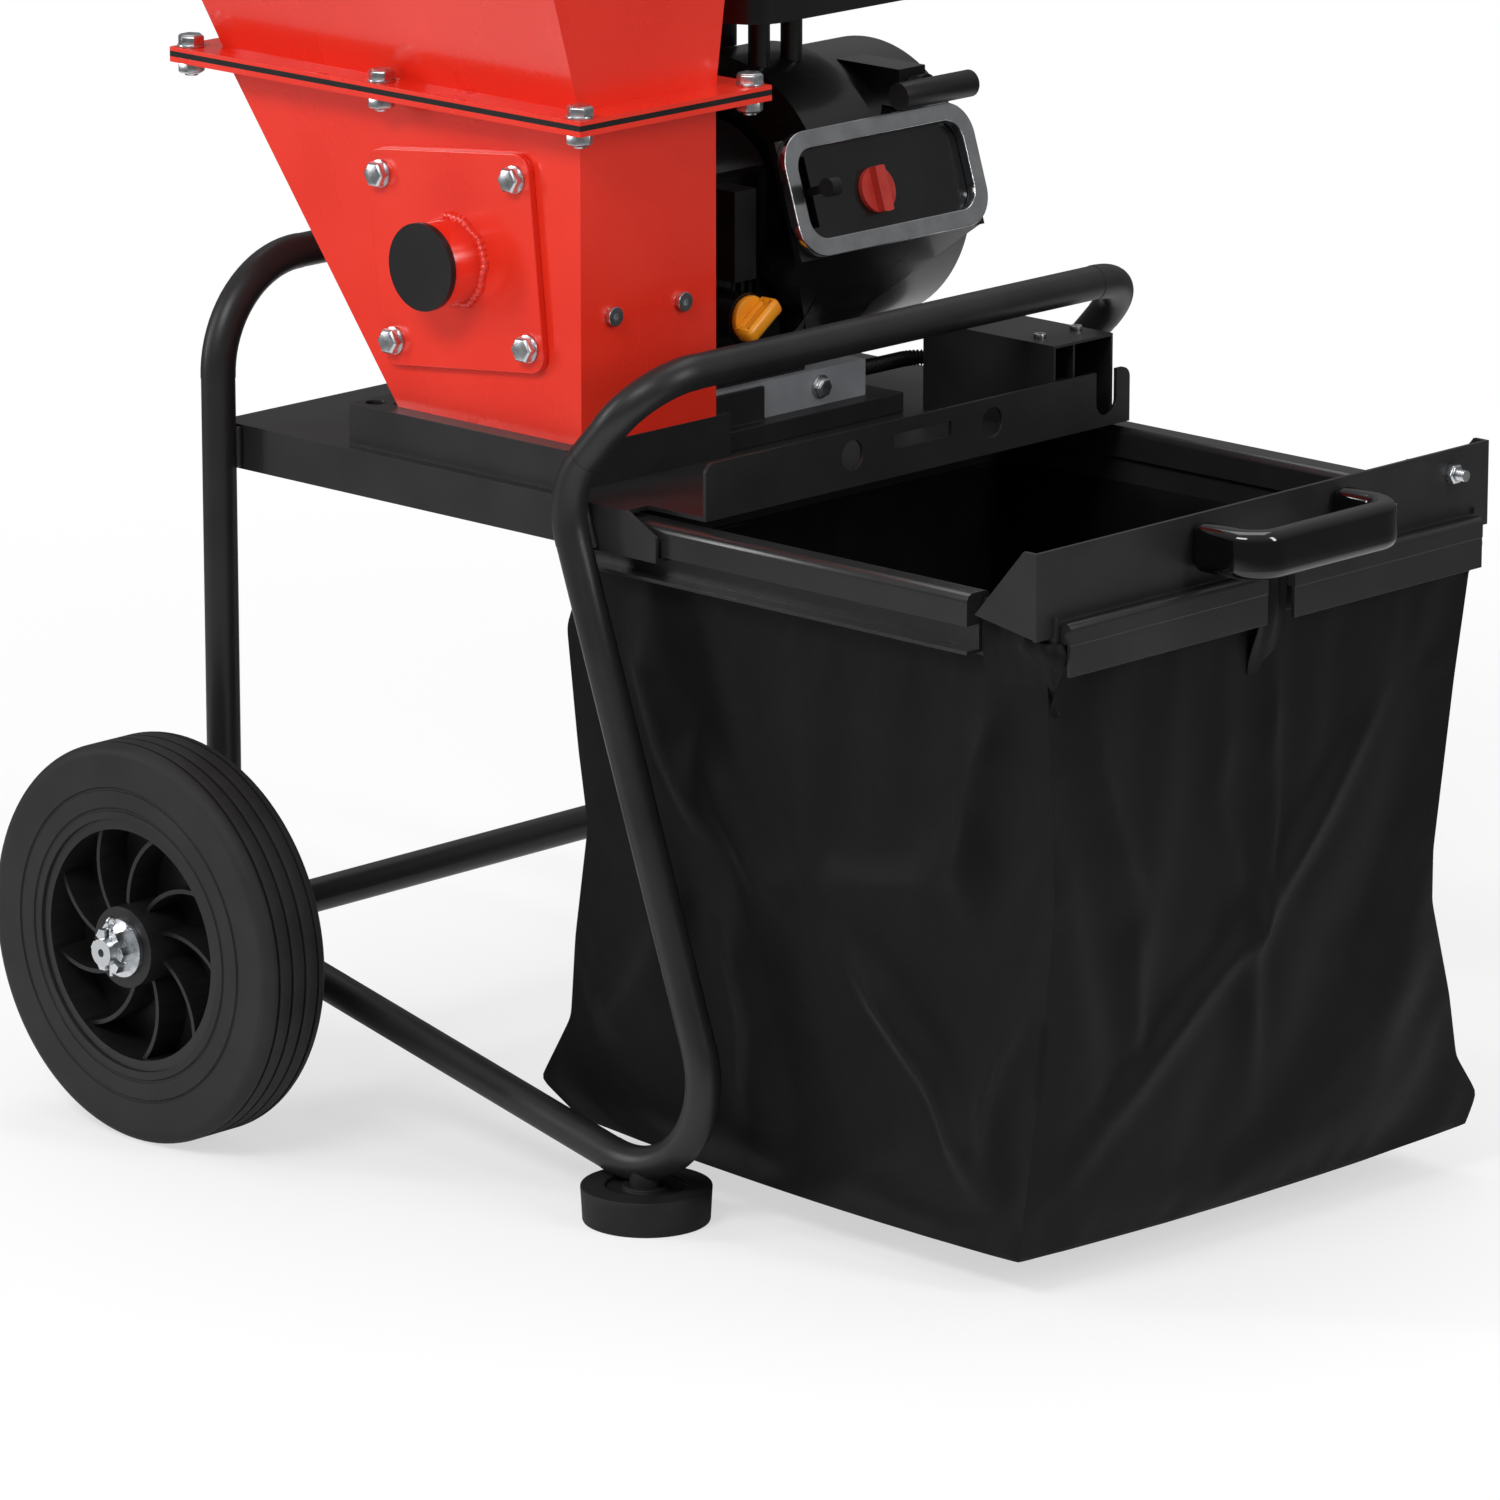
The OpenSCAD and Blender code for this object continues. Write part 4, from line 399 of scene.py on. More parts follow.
# ---------------------------------------------------------------- pull handle
def pull_handle():
    """Bar of 19 by 34 mm, bent twice into a D that stands on the drawer plate."""
    plate, arm, half, low, high = 348.2, 31.8, 53.0, 499.0, 533.0
    thick, bend, rounding = 19, 20.5, 7.5
    mid = (low + high) / 2
    fresh()
    bpy.ops.mesh.primitive_plane_add(size=1, location=at(plate, -half - bend, mid),
                                     rotation=(0, math.pi / 2, 0))
    obj = bpy.context.object
    obj.scale = ((high - low) * MM, thick * MM, 1)
    settle(obj)
    edit(obj)
    bpy.ops.mesh.select_mode(type="EDGE")
    bpy.ops.mesh.select_all(action="SELECT")
    bpy.ops.mesh.delete(type="ONLY_FACE")
    bpy.ops.mesh.select_all(action="SELECT")
    move = bpy.ops.mesh.extrude_edges_move
    move(TRANSFORM_OT_translate={"value": (arm * MM, 0, 0)})
    bpy.ops.mesh.spin(steps=10, angle=-math.pi / 2, center=at(plate + arm, -half, mid), axis=(0, 0, 1))
    move(TRANSFORM_OT_translate={"value": (0, 2 * half * MM, 0)})
    bpy.ops.mesh.spin(steps=10, angle=-math.pi / 2, center=at(plate + arm, half, mid), axis=(0, 0, 1))
    move(TRANSFORM_OT_translate={"value": (-arm * MM, 0, 0)})
    bpy.ops.mesh.select_all(action="SELECT")
    bpy.ops.mesh.remove_doubles(threshold=0.01 * MM)
    bpy.ops.mesh.fill_holes(sides=0)
    bpy.ops.mesh.select_all(action="SELECT")
    bpy.ops.mesh.normals_make_consistent(inside=False)
    modify(obj, "BEVEL", width=rounding * MM, segments=6, limit_method="ANGLE", angle_limit=math.radians(60))
    return dress(obj, "pull_handle", finish["handle_gloss"], "bag_drawer", "handle_gloss", "d_handle",
                 angle=40)


# ---------------------------------------------------------------- bolts
# Hexagons: width across flats, height and corner chamfer, in millimetres
M10_HEAD, M10_NUT = (17, 7, 1.3), (17, 8, 1.3)
M8_HEAD, M8_NUT = (13, 6, 1.0), (13, 6.5, 1.0)


def hexagon(across, high, middle):
    """Plain six-sided bar on its own Z, given in millimetres."""
    fresh()
    bpy.ops.mesh.primitive_cylinder_add(vertices=6, radius=across / 2 / math.cos(math.pi / 6) * MM,
                                        depth=high * MM, location=(0, 0, middle * MM))
    return bpy.context.object


def hex_head(across, high, chamfer):
    """Hexagon head standing on its own Z, with its upper corners turned off."""
    obj = hexagon(across, high, high / 2)
    settle(obj)
    edit(obj)
    pick(obj, "FACE", lambda f: f.normal.z > 0.9)
    bpy.ops.mesh.bevel(offset=chamfer * MM, segments=1, affect="EDGES")
    pick(obj, "FACE", lambda f: f.normal.z > 0.9)
    bpy.ops.mesh.inset(thickness=0.9 * MM, depth=0.25 * MM)
    fresh(obj)
    modify(obj, "BEVEL", width=0.35 * MM, segments=2, limit_method="ANGLE", angle_limit=math.radians(25))
    return obj


def turned(radius, low, high, edge=0.4, sides=36):
    """Short round piece on its own Z from low to high, with its rims eased."""
    fresh()
    bpy.ops.mesh.primitive_cylinder_add(vertices=sides, radius=radius * MM, depth=(high - low) * MM,
                                        location=(0, 0, (low + high) / 2 * MM))
    obj = bpy.context.object
    settle(obj)
    edit(obj)
    pick(obj, "EDGE", lambda e: abs(e.verts[0].co.z - e.verts[1].co.z) < 1e-6)
    bpy.ops.mesh.bevel(offset=edge * MM, segments=2, affect="EDGES")
    fresh(obj)
    return obj


def machine_bolts():
    """M10 bolts with washers: bearing plate, rear wall and hopper rim, with nuts below the rim."""
    washer_r, washer_t = 10, 2

    def bolt(length):
        head = hex_head(*M10_HEAD)
        for v in head.data.vertices:
            v.co.z += washer_t * MM
        return join([head, turned(washer_r, 0, washer_t), turned(5, -length, 1, 0.8, 20)], "bolt")

    plate = [(-279.4, -226, 588.2), (-291.9, -226, 707.6), (-144.1, -226, 602.4), (-156.6, -226, 721.8)]
    lean = [(-353.1, -202, 630.0), (-353.1, -116, 630.0)]
    rim = [(x, y) for x in (-476.7, -278.9, -81.0) for y in (-237, -67)]
    made = copies(bolt(11), [facing(p, (0, -1, 0)) for p in plate])
    made += copies(bolt(17), [facing(p, (-0.7955, 0, -0.606)) for p in lean])
    made += copies(bolt(21), [facing((x, y, 777), (0, 0, 1)) for x, y in rim])
    made += copies(hex_head(*M10_NUT), [facing((x, y, 766), (0, 0, -1)) for x, y in rim])
    return dress(join(made, "machine_bolts"), "machine_bolts", finish["zinc"], "stand", "zinc", "hex_bolts",
                 angle=30)


def engine_bolts():
    """M8 flange bolts: four in the housing wall, four in the engine's feet, one in the channel's end."""
    def bolt(length):
        return join([hex_head(*M8_HEAD), turned(9, 0, 1.6, 0.6), turned(4, -length, 1, 0.7, 20)], "bolt")

    wall = [(x, -89, z) for x in (-177, -259) for z in (626.3, 683.7)]
    feet = [(x, y, 561) for x in (-299, -137) for y in (-55.8, 19.8)]
    made = copies(bolt(19), [facing(p, (0, -1, 0)) for p in wall])
    made += copies(bolt(23), [facing(p, (0, 0, 1)) for p in feet])
    made += copies(bolt(12), [facing((-117, 44, 536), (1, 0, 0))])
    return dress(join(made, "engine_bolts"), "engine_bolts", finish["zinc"], "stand", "zinc", "flange_bolts",
                 angle=30)


def socket_screws():
    """Button-head screws: two in the housing front, two on the switch box."""
    def screw(radius, high, key, shank, length):
        head = turned(radius, 0, high, 0.3, 40)
        edit(head)
        pick(head, "EDGE", lambda e: min(v.co.z for v in e.verts) > high * 0.9 * MM)
        bpy.ops.mesh.bevel(offset=high * 0.62 * MM, segments=5, affect="EDGES", clamp_overlap=True)
        tool = hexagon(key, high * 1.3, high)
        modify(head, "BOOLEAN", object=tool, operation="DIFFERENCE", solver="EXACT")
        bpy.data.objects.remove(tool)
        return join([head, turned(shank, -length, 0.4, 0.5, 20)], "screw")

    made = copies(screw(7, 4.4, 5, 4, 16), [facing((-98, y, 627), (1, 0, 0)) for y in (-189, -119)])
    made += copies(screw(4.6, 3.0, 2.5, 2, 8), [facing((-6.2, y, 571), (0, 0, 1)) for y in (158, 197)])
    return dress(join(made, "socket_screws"), "socket_screws", finish["zinc"], "stand", "zinc",
                 "button_screws", angle=35)


def latch_stud():
    """Threaded M8 stud of the drawer latch, with a nut on each side of the plate."""
    fresh()
    length, grooves, root = 54, 49, 0.84
    bpy.ops.mesh.primitive_cylinder_add(vertices=24, radius=4 * MM, depth=length * MM,
                                        location=(0, 0, length / 2 * MM))
    obj = bpy.context.object
    settle(obj)
    edit(obj)
    pick(obj, "EDGE", lambda e: abs(e.verts[0].co.z - e.verts[1].co.z) > 0.01)
    bpy.ops.mesh.subdivide(number_cuts=2 * grooves - 1)
    fresh(obj)
    # 1.1 mm of thread to each groove, in place of 1.25 mm
    for v in obj.data.vertices:
        if round(v.co.z / (length / 2 / grooves * MM)) % 2:
            v.co.x *= root
            v.co.y *= root
    nuts = copies(hex_head(*M8_NUT), [Matrix.Translation((0, 0, z * MM)) for z in (30.5, 40.0)])
    obj = join([obj] + nuts, "latch_stud")
    obj.matrix_world = facing((308, 196, 521), (1, 0, 0))
    return dress(obj, "latch_stud", finish["zinc"], "bag_drawer", "zinc", "latch_bolt", angle=30)


# ---------------------------------------------------------------- dipstick
def oil_dipstick():
    """Oil filler plug with its stick, a collar and a rounded wing grip, turned 35 degrees."""
    place, grip_size, grip_middle = (-120, -30, 598), (38, 13, 17), 12
    fresh()
    bpy.ops.mesh.primitive_cube_add(size=1, location=(0, 0, grip_middle * MM))
    grip = bpy.context.object
    grip.scale = [d * MM for d in grip_size]
    settle(grip)
    edit(grip)
    pick(grip, "EDGE", lambda e: all(abs(v.co.x) > 15 * MM for v in e.verts))
    bpy.ops.mesh.bevel(offset=4.5 * MM, segments=4, affect="EDGES")
    pick(grip, "FACE", lambda f: abs(f.normal.y) > 0.9)
    bpy.ops.mesh.inset(thickness=4 * MM, depth=-2.2 * MM)
    fresh(grip)
    modify(grip, "BEVEL", width=1.6 * MM, segments=3, limit_method="ANGLE", angle_limit=math.radians(30))
    parts = [grip, turned(16.5, 0.4, 5.5, 1.6, 48), turned(11, -12, 1, 0.6), turned(2.5, -78, -8, 0.6, 16)]
    obj = join(parts, "oil_dipstick")
    a = math.radians(35)
    turn = Matrix(((0, 0, 1), (math.cos(a), -math.sin(a), 0), (math.sin(a), math.cos(a), 0))).to_4x4()
    obj.matrix_world = Matrix.Translation(at(*place)) @ turn
    return dress(obj, "oil_dipstick", finish["orange_plastic"], "dipstick_unit", "orange_plastic", "dipstick",
                 angle=35)


# ---------------------------------------------------------------- conduit
def wiring_conduit():
    """Corrugated sleeve from the engine to the switch box, hollow, with a plain cuff at each end."""
    x0, y0, z0, turn, run_y = -140.0, 58.0, 535.0, 24.0, 178.0
    box_wall, inside, cuff_r, bore_r = -106.2, 8, 5.5, 4.0
    pitch, root_r, rib_h, rib_share = 2.8, 4.8, 1.2, 0.62
    straight = run_y - turn - y0
    arc = turn * math.pi / 2
    entry = box_wall + inside - (x0 + turn)
    total = straight + arc + entry

    def point(s):
        if s < straight:
            return Vector((x0, y0 + s, z0)), Vector((0, 1, 0))
        if s < straight + arc:
            a = (s - straight) / turn
            return (Vector((x0 + turn * (1 - math.cos(a)), y0 + straight + turn * math.sin(a), z0)),
                    Vector((math.sin(a), math.cos(a), 0)))
        return Vector((x0 + turn + s - straight - arc, run_y, z0)), Vector((1, 0, 0))

    sides, per_rib, cuff, cuff_step = 20, 8, 12.0, 3.6
    steps = [(cuff_step * i, cuff_r) for i in range(4)]
    s = cuff
    while s < total - cuff - pitch:
        for k in range(per_rib):
            a = k / per_rib
            crest = max(0.0, math.sin(math.pi * min(a / rib_share, 1.0))) ** 0.6
            steps.append((s + a * pitch, root_r + rib_h * crest))
        s += pitch
    while s < total:
        steps.append((s, cuff_r))
        s += cuff_step
    steps.append((total, cuff_r))
    profile = steps + [(total * (1 - i / 40), bore_r) for i in range(41)]
    mesh = bpy.data.meshes.new("wiring_conduit")
    points, faces = [], []
    for q, r in profile:
        c, d = point(q)
        side = d.cross(Vector((0, 0, 1)))
        for k in range(sides):
            a = 2 * math.pi * k / sides
            points.append(at(*(c + (side * math.cos(a) + Vector((0, 0, 1)) * math.sin(a)) * r)))
    n = len(profile)
    for i in range(n):
        for k in range(sides):
            j, l = (i + 1) % n, (k + 1) % sides
            faces.append((i * sides + k, i * sides + l, j * sides + l, j * sides + k))
    mesh.from_pydata(points, [], faces)
    obj = bpy.data.objects.new("wiring_conduit", mesh)
    bpy.context.collection.objects.link(obj)
    edit(obj)
    bpy.ops.mesh.select_all(action="SELECT")
    bpy.ops.mesh.normals_make_consistent(inside=False)
    obj = dress(obj, "wiring_conduit", finish["moulded_black"], "stand", "moulded_black", "conduit", angle=60)
    return obj


# ---------------------------------------------------------------- weld beads
def weld(name, radii, segments, places, slot):
    """Overlapping ripples, of three radii in millimetres, run together into one bead."""
    fresh()
    bpy.ops.mesh.primitive_uv_sphere_add(segments=segments, ring_count=8, radius=1)
    ripple = bpy.context.object
    ripple.scale = [r * MM for r in radii]
    settle(ripple)
    obj = join(copies(ripple, places), name)
    modify(obj, "REMESH", mode="VOXEL", voxel_size=0.9 * MM)
    modify(obj, "SMOOTH", factor=0.5, iterations=2)
    return dress(obj, name, finish[slot], "stand", slot, angle=60)


def weld_beads():
    """Short fillet welds where the deck's skirts meet the uprights and the legs."""
    upright_x, beside, skirt_y, heights = -432, 9.5, 247.2, range(478, 506, 2)

    def leg_x(z):
        return 96 - 178 * (z - 10) / 506

    runs = []
    for side in (-1, 1):
        for lead in (-1, 1):
            runs.append([(leg_x(z) + lead * beside, side * skirt_y, z) for z in heights])
            runs.append([(upright_x + lead * beside, side * skirt_y, z) for z in heights])
    places = [Matrix.Translation(at(*p)) for run in runs for p in run]
    return weld("weld_beads", (3.4, 3.4, 2.2), 10, places, "black_paint")


def boss_weld():
    """Painted weld round the bearing boss, on its plate."""
    boss_x, plate_y, boss_z, boss_r, ripples = -218, -226.4, 655, 30.6, 46
    places = []
    for i in range(ripples):
        a = 2 * math.pi * i / ripples
        r = boss_r + 0.9 * math.sin(5 * a) + 0.7 * math.sin(11 * a + 1)
        place = at(boss_x + r * math.cos(a), plate_y, boss_z + r * math.sin(a))
        places.append(Matrix.Translation(place) @ Matrix.Rotation(-a, 4, "Y"))
    return weld("boss_weld", (4.2, 4.6, 2.6), 12, places, "red_paint")


# ---------------------------------------------------------------- bag
def along(table, t):
    """Value at t in a table of (t, value) rows, half straight and half eased between the rows."""
    for (t0, a), (t1, b) in zip(table, table[1:]):
        if t <= t1:
            k = clamp((t - t0) / (t1 - t0))
            return a + (b - a) * (smooth(k) * 0.5 + k * 0.5)
    return table[-1][1]


def ridge(u, v, line, width, height):
    """Height at (u, v), in millimetres, of a fold that runs along a line and dies out at its ends."""
    tail = 0.25
    best = run = 0.0
    total = sum(math.dist(a, b) for a, b in zip(line, line[1:]))
    for a, b in zip(line, line[1:]):
        length = math.dist(a, b)
        du, dv = (b[0] - a[0]) / length, (b[1] - a[1]) / length
        s = min(max((u - a[0]) * du + (v - a[1]) * dv, 0.0), length)
        d = math.dist((u, v), (a[0] + du * s, a[1] + dv * s))
        w = (run + s) / total
        fade = clamp(min(w / tail, (1 - w) / tail))
        best = max(best, math.exp(-(d / width) ** 1.6) * fade)
        run += length
    return best * height


# Corner lines of the bag, top to bottom, in millimetres: share of the height, then x, y, z
FRONT_NEAR = [(0.0, (341, -219, 458)), (0.25, (347, -219, 354)), (0.4, (349, -218, 293)),
              (0.66, (338, -217, 176)), (0.9, (322, -216, 66)), (1.0, (316, -215, 29))]
FRONT_FAR = [(0.0, (348, 221, 458)), (0.2, (347, 206, 372)), (0.45, (350, 183, 250)), (0.58, (350, 183, 212)),
             (0.74, (350, 204, 140)), (0.86, (348, 216, 90)), (0.95, (350, 238, 58)), (1.0, (347, 229, 36))]
REAR_NEAR = [(0.0, (-95, -219, 458)), (0.12, (-116, -218, 405)), (0.32, (-106, -217, 316)),
             (0.45, (-98, -216, 262)), (0.65, (-112, -215, 177)), (0.8, (-117, -215, 116)),
             (0.93, (-147, -216, 64)), (1.0, (-108, -216, 43))]
REAR_FAR = [(0.0, (-95, 219, 458)), (0.15, (-104, 215, 395)), (0.35, (-96, 205, 305)), (0.5, (-84, 200, 240)),
            (0.7, (-100, 205, 160)), (0.85, (-112, 214, 100)), (0.95, (-134, 220, 62)), (1.0, (-108, 216, 42))]

# Folds of each wall: points along the wall and up, then the fold's width and height, in millimetres
FRONT_FOLDS = [
    ([(-214, 52), (-156, 122), (-79, 177), (-1, 228), (71, 308), (150, 397)], 10, 14),
    ([(-192, 425), (-166, 368), (-143, 315), (-118, 270)], 10, 11),
    ([(-136, 262), (-128, 215), (-124, 160)], 10, 10),
    ([(7, 468), (12, 387), (14, 302), (-1, 226), (-1, 90)], 8, 10),
    ([(-3, 232), (-43, 335), (-31, 400)], 14, 6),
    ([(196, 120), (120, 180), (30, 214), (-1, 228)], 16, 5),
    ([(185, 230), (90, 236), (10, 226)], 16, 4),
]
NEAR_FOLDS = [
    ([(140, 240), (223, 153), (300, 52)], 15, 22),
    ([(6, 350), (74, 258), (120, 215)], 18, 17),
    ([(300, 430), (272, 349), (262, 250)], 13, 15),
    ([(-52, 440), (-17, 332), (38, 262)], 17, 16),
    ([(92, 262), (223, 278), (290, 330)], 18, 13),
    ([(-96, 95), (-40, 160), (10, 250)], 15, 14),
    ([(318, 200), (290, 130), (298, 60)], 11, 11),
    ([(30, 240), (60, 150), (52, 60)], 16, 12),
]
FAR_FOLDS = [
    ([(170, 250), (230, 160), (300, 60)], 20, 9),
    ([(20, 340), (90, 250)], 24, 7),
    ([(300, 420), (270, 330), (250, 240)], 18, 7),
    ([(-60, 430), (-20, 320), (20, 250)], 22, 7),
    ([(-90, 100), (-30, 170), (20, 240)], 18, 6),
]
REAR_FOLDS = [
    ([(-190, 80), (-60, 210), (0, 240), (120, 330)], 16, 8),
    ([(190, 80), (70, 200), (0, 240)], 16, 7),
    ([(0, 450), (4, 330), (0, 240), (-6, 120)], 12, 6),
]


def bag_shell():
    """Walls and floor of the bag as one open cloth; returns it with its hem, seam and base vertices."""
    def corner(table, t):
        return Vector([along([(k, p[i]) for k, p in table], t) for i in range(3)])

    rows, long_cols, short_cols = 43, 48, 46
    base_sag, floor_sag, seam_crease = 5, 6, 0.8
    walls = [  # from, to, columns, outward, folds, wall's own coordinate, how far the middle is drawn in
        (REAR_NEAR, FRONT_NEAR, long_cols, Vector((0, -1, 0)), NEAR_FOLDS, 0, 10),
        (FRONT_NEAR, FRONT_FAR, short_cols, Vector((1, 0, 0)), FRONT_FOLDS, 1, 16),
        (FRONT_FAR, REAR_FAR, long_cols, Vector((0, 1, 0)), FAR_FOLDS, 0, 12),
        (REAR_FAR, REAR_NEAR, short_cols, Vector((-1, 0, 0)), REAR_FOLDS, 1, 14),
    ]
    points, grid = [], []
    for r in range(rows + 1):
        t = r / rows
        ring = []
        for start, end, count, out, folds, axis, drawn in walls:
            a, b = corner(start, t), corner(end, t)
            for c in range(count):
                k = c / count
                p = a.lerp(b, k)
                u = p[axis]
                arch = 4 * k * (1 - k)
                free = math.sin(math.pi * min(1.0, t * 1.02)) ** 0.8
                lift = sum(ridge(u, p.z, line, w, h) for line, w, h in folds)
                off = -drawn * arch * free + lift * min(1.0, 6 * t, 8 * (1 - t) + 0.25)
                q = p + out * (off if c else 0.0)
                q.z -= base_sag * arch * t ** 6
                ring.append(len(points))
                points.append(q)
        grid.append(ring)
    cols = len(grid[0])
    faces = [(grid[r][c], grid[r + 1][c], grid[r + 1][(c + 1) % cols], grid[r][(c + 1) % cols])
             for r in range(rows) for c in range(cols)]
    # The floor is drawn between the lowest ring's four runs and sags a little
    last = grid[-1]
    near, front = last[:long_cols + 1], last[long_cols:long_cols + short_cols + 1]
    far = last[long_cols + short_cols:2 * long_cols + short_cols + 1][::-1]
    rear = (last[2 * long_cols + short_cols:] + [last[0]])[::-1]
    floor = {}
    for i in range(long_cols + 1):
        for j in range(short_cols + 1):
            if j == 0:
                floor[i, j] = near[i]
            elif j == short_cols:
                floor[i, j] = far[i]
            elif i == 0:
                floor[i, j] = rear[j]
            elif i == long_cols:
                floor[i, j] = front[j]
            else:
                u, v = i / long_cols, j / short_cols
                p = (points[near[i]] * (1 - v) + points[far[i]] * v + points[rear[j]] * (1 - u)
                     + points[front[j]] * u
                     - points[near[0]] * (1 - u) * (1 - v) - points[near[-1]] * u * (1 - v)
                     - points[far[0]] * (1 - u) * v - points[far[-1]] * u * v)
                p = p - Vector((0, 0, floor_sag * math.sin(math.pi * u) * math.sin(math.pi * v)))
                floor[i, j] = len(points)
                points.append(p)
    faces += [(floor[i, j], floor[i, j + 1], floor[i + 1, j + 1], floor[i + 1, j])
              for i in range(long_cols) for j in range(short_cols)]
    mesh = bpy.data.meshes.new("bag_cloth")
    mesh.from_pydata([at(*p) for p in points], [], faces)
    mesh.validate()
    obj = bpy.data.objects.new("bag_cloth", mesh)
    bpy.context.collection.objects.link(obj)
    corners = (0, long_cols, long_cols + short_cols, 2 * long_cols + short_cols)
    seams = {ring[c] for ring in grid for c in corners}
    # Sewn edges stay sharp when the cloth is smoothed
    crease = mesh.attributes.new("crease_edge", "FLOAT", "EDGE")
    base = set(last)
    for e in mesh.edges:
        a, b = e.vertices
        if (a in seams and b in seams) or (a in base and b in base):
            crease.data[e.index].value = seam_crease
    return obj, set(grid[0]) | set(grid[1]), seams, base


def hem_wraps():
    """Hem folded over the drawer's rim where no strip covers it: at both front corners and mid-front."""
    points, faces = [], []
    strip_end, corner_x, front_x, web_y, corner_r = 287, 345, 351, -222, 6
    hem_low, tuck_z, over_rim, roll = 420, 474, 18.6, 6.5

    def band(path, section):
        """Cloth along a path of (plan point, outward) pairs; section gives its (out, z) points at a share."""
        first = len(points)
        lines = [section(i / (len(path) - 1)) for i in range(len(path))]
        rows = len(lines[0])
        for (p, out), line in zip(path, lines):
            points.extend(Vector((p[0] + out[0] * q, p[1] + out[1] * q, z)) for q, z in line)
        for i in range(len(path) - 1):
            for j in range(rows - 1):
                a = first + i * rows + j
                faces.append((a, a + rows, a + rows + 1, a + 1))

    def corner_section(k):
        # Folded over the rim, tucked in under the plate at the corner, and clear of the deck's rail at 226 mm
        fold = 1 - clamp((k - 0.57) / 0.1)
        turned_in = clamp((k - 0.6) / 0.12)
        wave = math.sin(23 * k) + 0.6 * math.sin(51 * k + 1)
        # The rolled hem swells only past the point that the rail reaches with the drawer shut
        swell = clamp((k - 0.37) / 0.16)
        line = []
        for j in range(25):
            t = j / 24
            z = hem_low + t * (tuck_z + fold * over_rim - hem_low)
            q = -5 - 5 * turned_in + (6.6 + 5 * turned_in) * smooth(clamp(t / 0.7))
            q += (0.7 * math.sin(math.pi * t) + 0.4 * wave * t) * (0.2 + 0.8 * fold)
            q += roll * swell * math.exp(-((z - 481 + 16 * k) / 10) ** 2)
            line.append((q - 1.2 * (1 - fold), z))
        lap = max(fold, 0.15)
        out, top = line[-1]
        for j in range(1, 7):
            a = math.pi * j / 6
            line.append((out - (1 - math.cos(a)) * 3.3 * lap, top + (2.6 + 0.8 * wave) * math.sin(a) * lap))
        out, top = line[-1]
        line += [(out, top - 6.0 * j * lap) for j in range(1, 4)]
        return line

    def gather_section(k):
        # Gathered cloth between the two front strips
        line = []
        for j in range(15):
            rise = smooth(clamp(j / 9))
            line.append((-9 + 11 * rise + 1.6 * math.sin(11 * k + 0.2 * j) * rise, 412 + 76.8 * j / 14))
        return line + [(0.4, 490.2), (-2.0, 490.6)]

    near = [((strip_end + (corner_x - strip_end) * i / 21, web_y), (0, -1)) for i in range(22)]
    for i in range(1, 8):
        a = math.pi / 2 * i / 7
        out = (math.sin(a), -math.cos(a))
        near.append(((corner_x + corner_r * out[0], web_y + corner_r + corner_r * out[1]), out))
    band(near, corner_section)
    band([((x, -y), (u, -v)) for (x, y), (u, v) in reversed(near)], lambda k: corner_section(1 - k))
    band([((front_x, -13.4 + 26.8 * i / 12), (1, 0)) for i in range(13)], gather_section)
    mesh = bpy.data.meshes.new("hem_wraps")
    mesh.from_pydata([at(*p) for p in points], [], faces)
    obj = bpy.data.objects.new("hem_wraps", mesh)
    bpy.context.collection.objects.link(obj)
    return obj


def bag():
    """The bag's cloth, settled by simulation with its hem and seams held."""
    frames, furthest = 25, 14 * MM
    obj, hem, seams, base = bag_shell()
    held = obj.vertex_groups.new(name="held")
    for v in obj.data.vertices:
        i = v.index
        w = 1.0 if i in hem or i in seams else 0.8 if i in base else 0.0
        if w:
            held.add([i], w, "REPLACE")
    fresh(obj)
    cloth = obj.modifiers.new("cloth", "CLOTH")
    s = cloth.settings
    s.quality = 6
    s.mass = 0.25
    s.tension_stiffness = s.compression_stiffness = 25
    s.shear_stiffness = 12
    s.bending_stiffness = 3.0
    s.tension_damping = s.compression_damping = s.shear_damping = 12
    s.vertex_group_mass = "held"
    s.pin_stiffness = 1.0
    s.shrink_min = -0.005
    s.effector_weights.gravity = 0.35
    cloth.collision_settings.use_collision = False
    scene = bpy.context.scene
    rest = [v.co.copy() for v in obj.data.vertices]
    for f in range(1, frames + 1):
        scene.frame_set(f)
    bpy.ops.object.modifier_apply(modifier="cloth")
    scene.frame_set(1)
    # No point goes further than this from where the pattern puts it
    for v, r in zip(obj.data.vertices, rest):
        d = v.co - r
        if d.length > furthest:
            v.co = r + d * (furthest / d.length)
    return obj


def bag_piece():
    """Bag and hem as one cloth, smoothed once and thickened to 1.2 mm."""
    obj = join([bag(), hem_wraps()], "bag_cloth")
    modify(obj, "SUBSURF", levels=1, render_levels=1)
    modify(obj, "SOLIDIFY", thickness=1.2 * MM, offset=-1.0)
    obj = dress(obj, "bag_cloth", finish["bag_fabric"], "bag_drawer", "bag_fabric", "bag", angle=70)
    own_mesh(obj)
    return obj


# ---------------------------------------------------------------- eased edges of the carried-over nodes
def ease(width, *names, segments=2, angle=30):
    """Merges a node's loose triangles and rounds its edges by width, in millimetres."""
    for name in names:
        o = nodes[name]
        merge = o.modifiers.new("weld", "WELD")
        merge.merge_threshold = 0.01 * MM
        flat = o.modifiers.new("flat", "DECIMATE")
        flat.decimate_type = "DISSOLVE"
        flat.angle_limit = math.radians(0.5)
        bevel = o.modifiers.new("ease", "BEVEL")
        bevel.width = width * MM
        bevel.segments = segments
        bevel.limit_method = "ANGLE"
        bevel.angle_limit = math.radians(angle)
        bevel.harden_normals = True


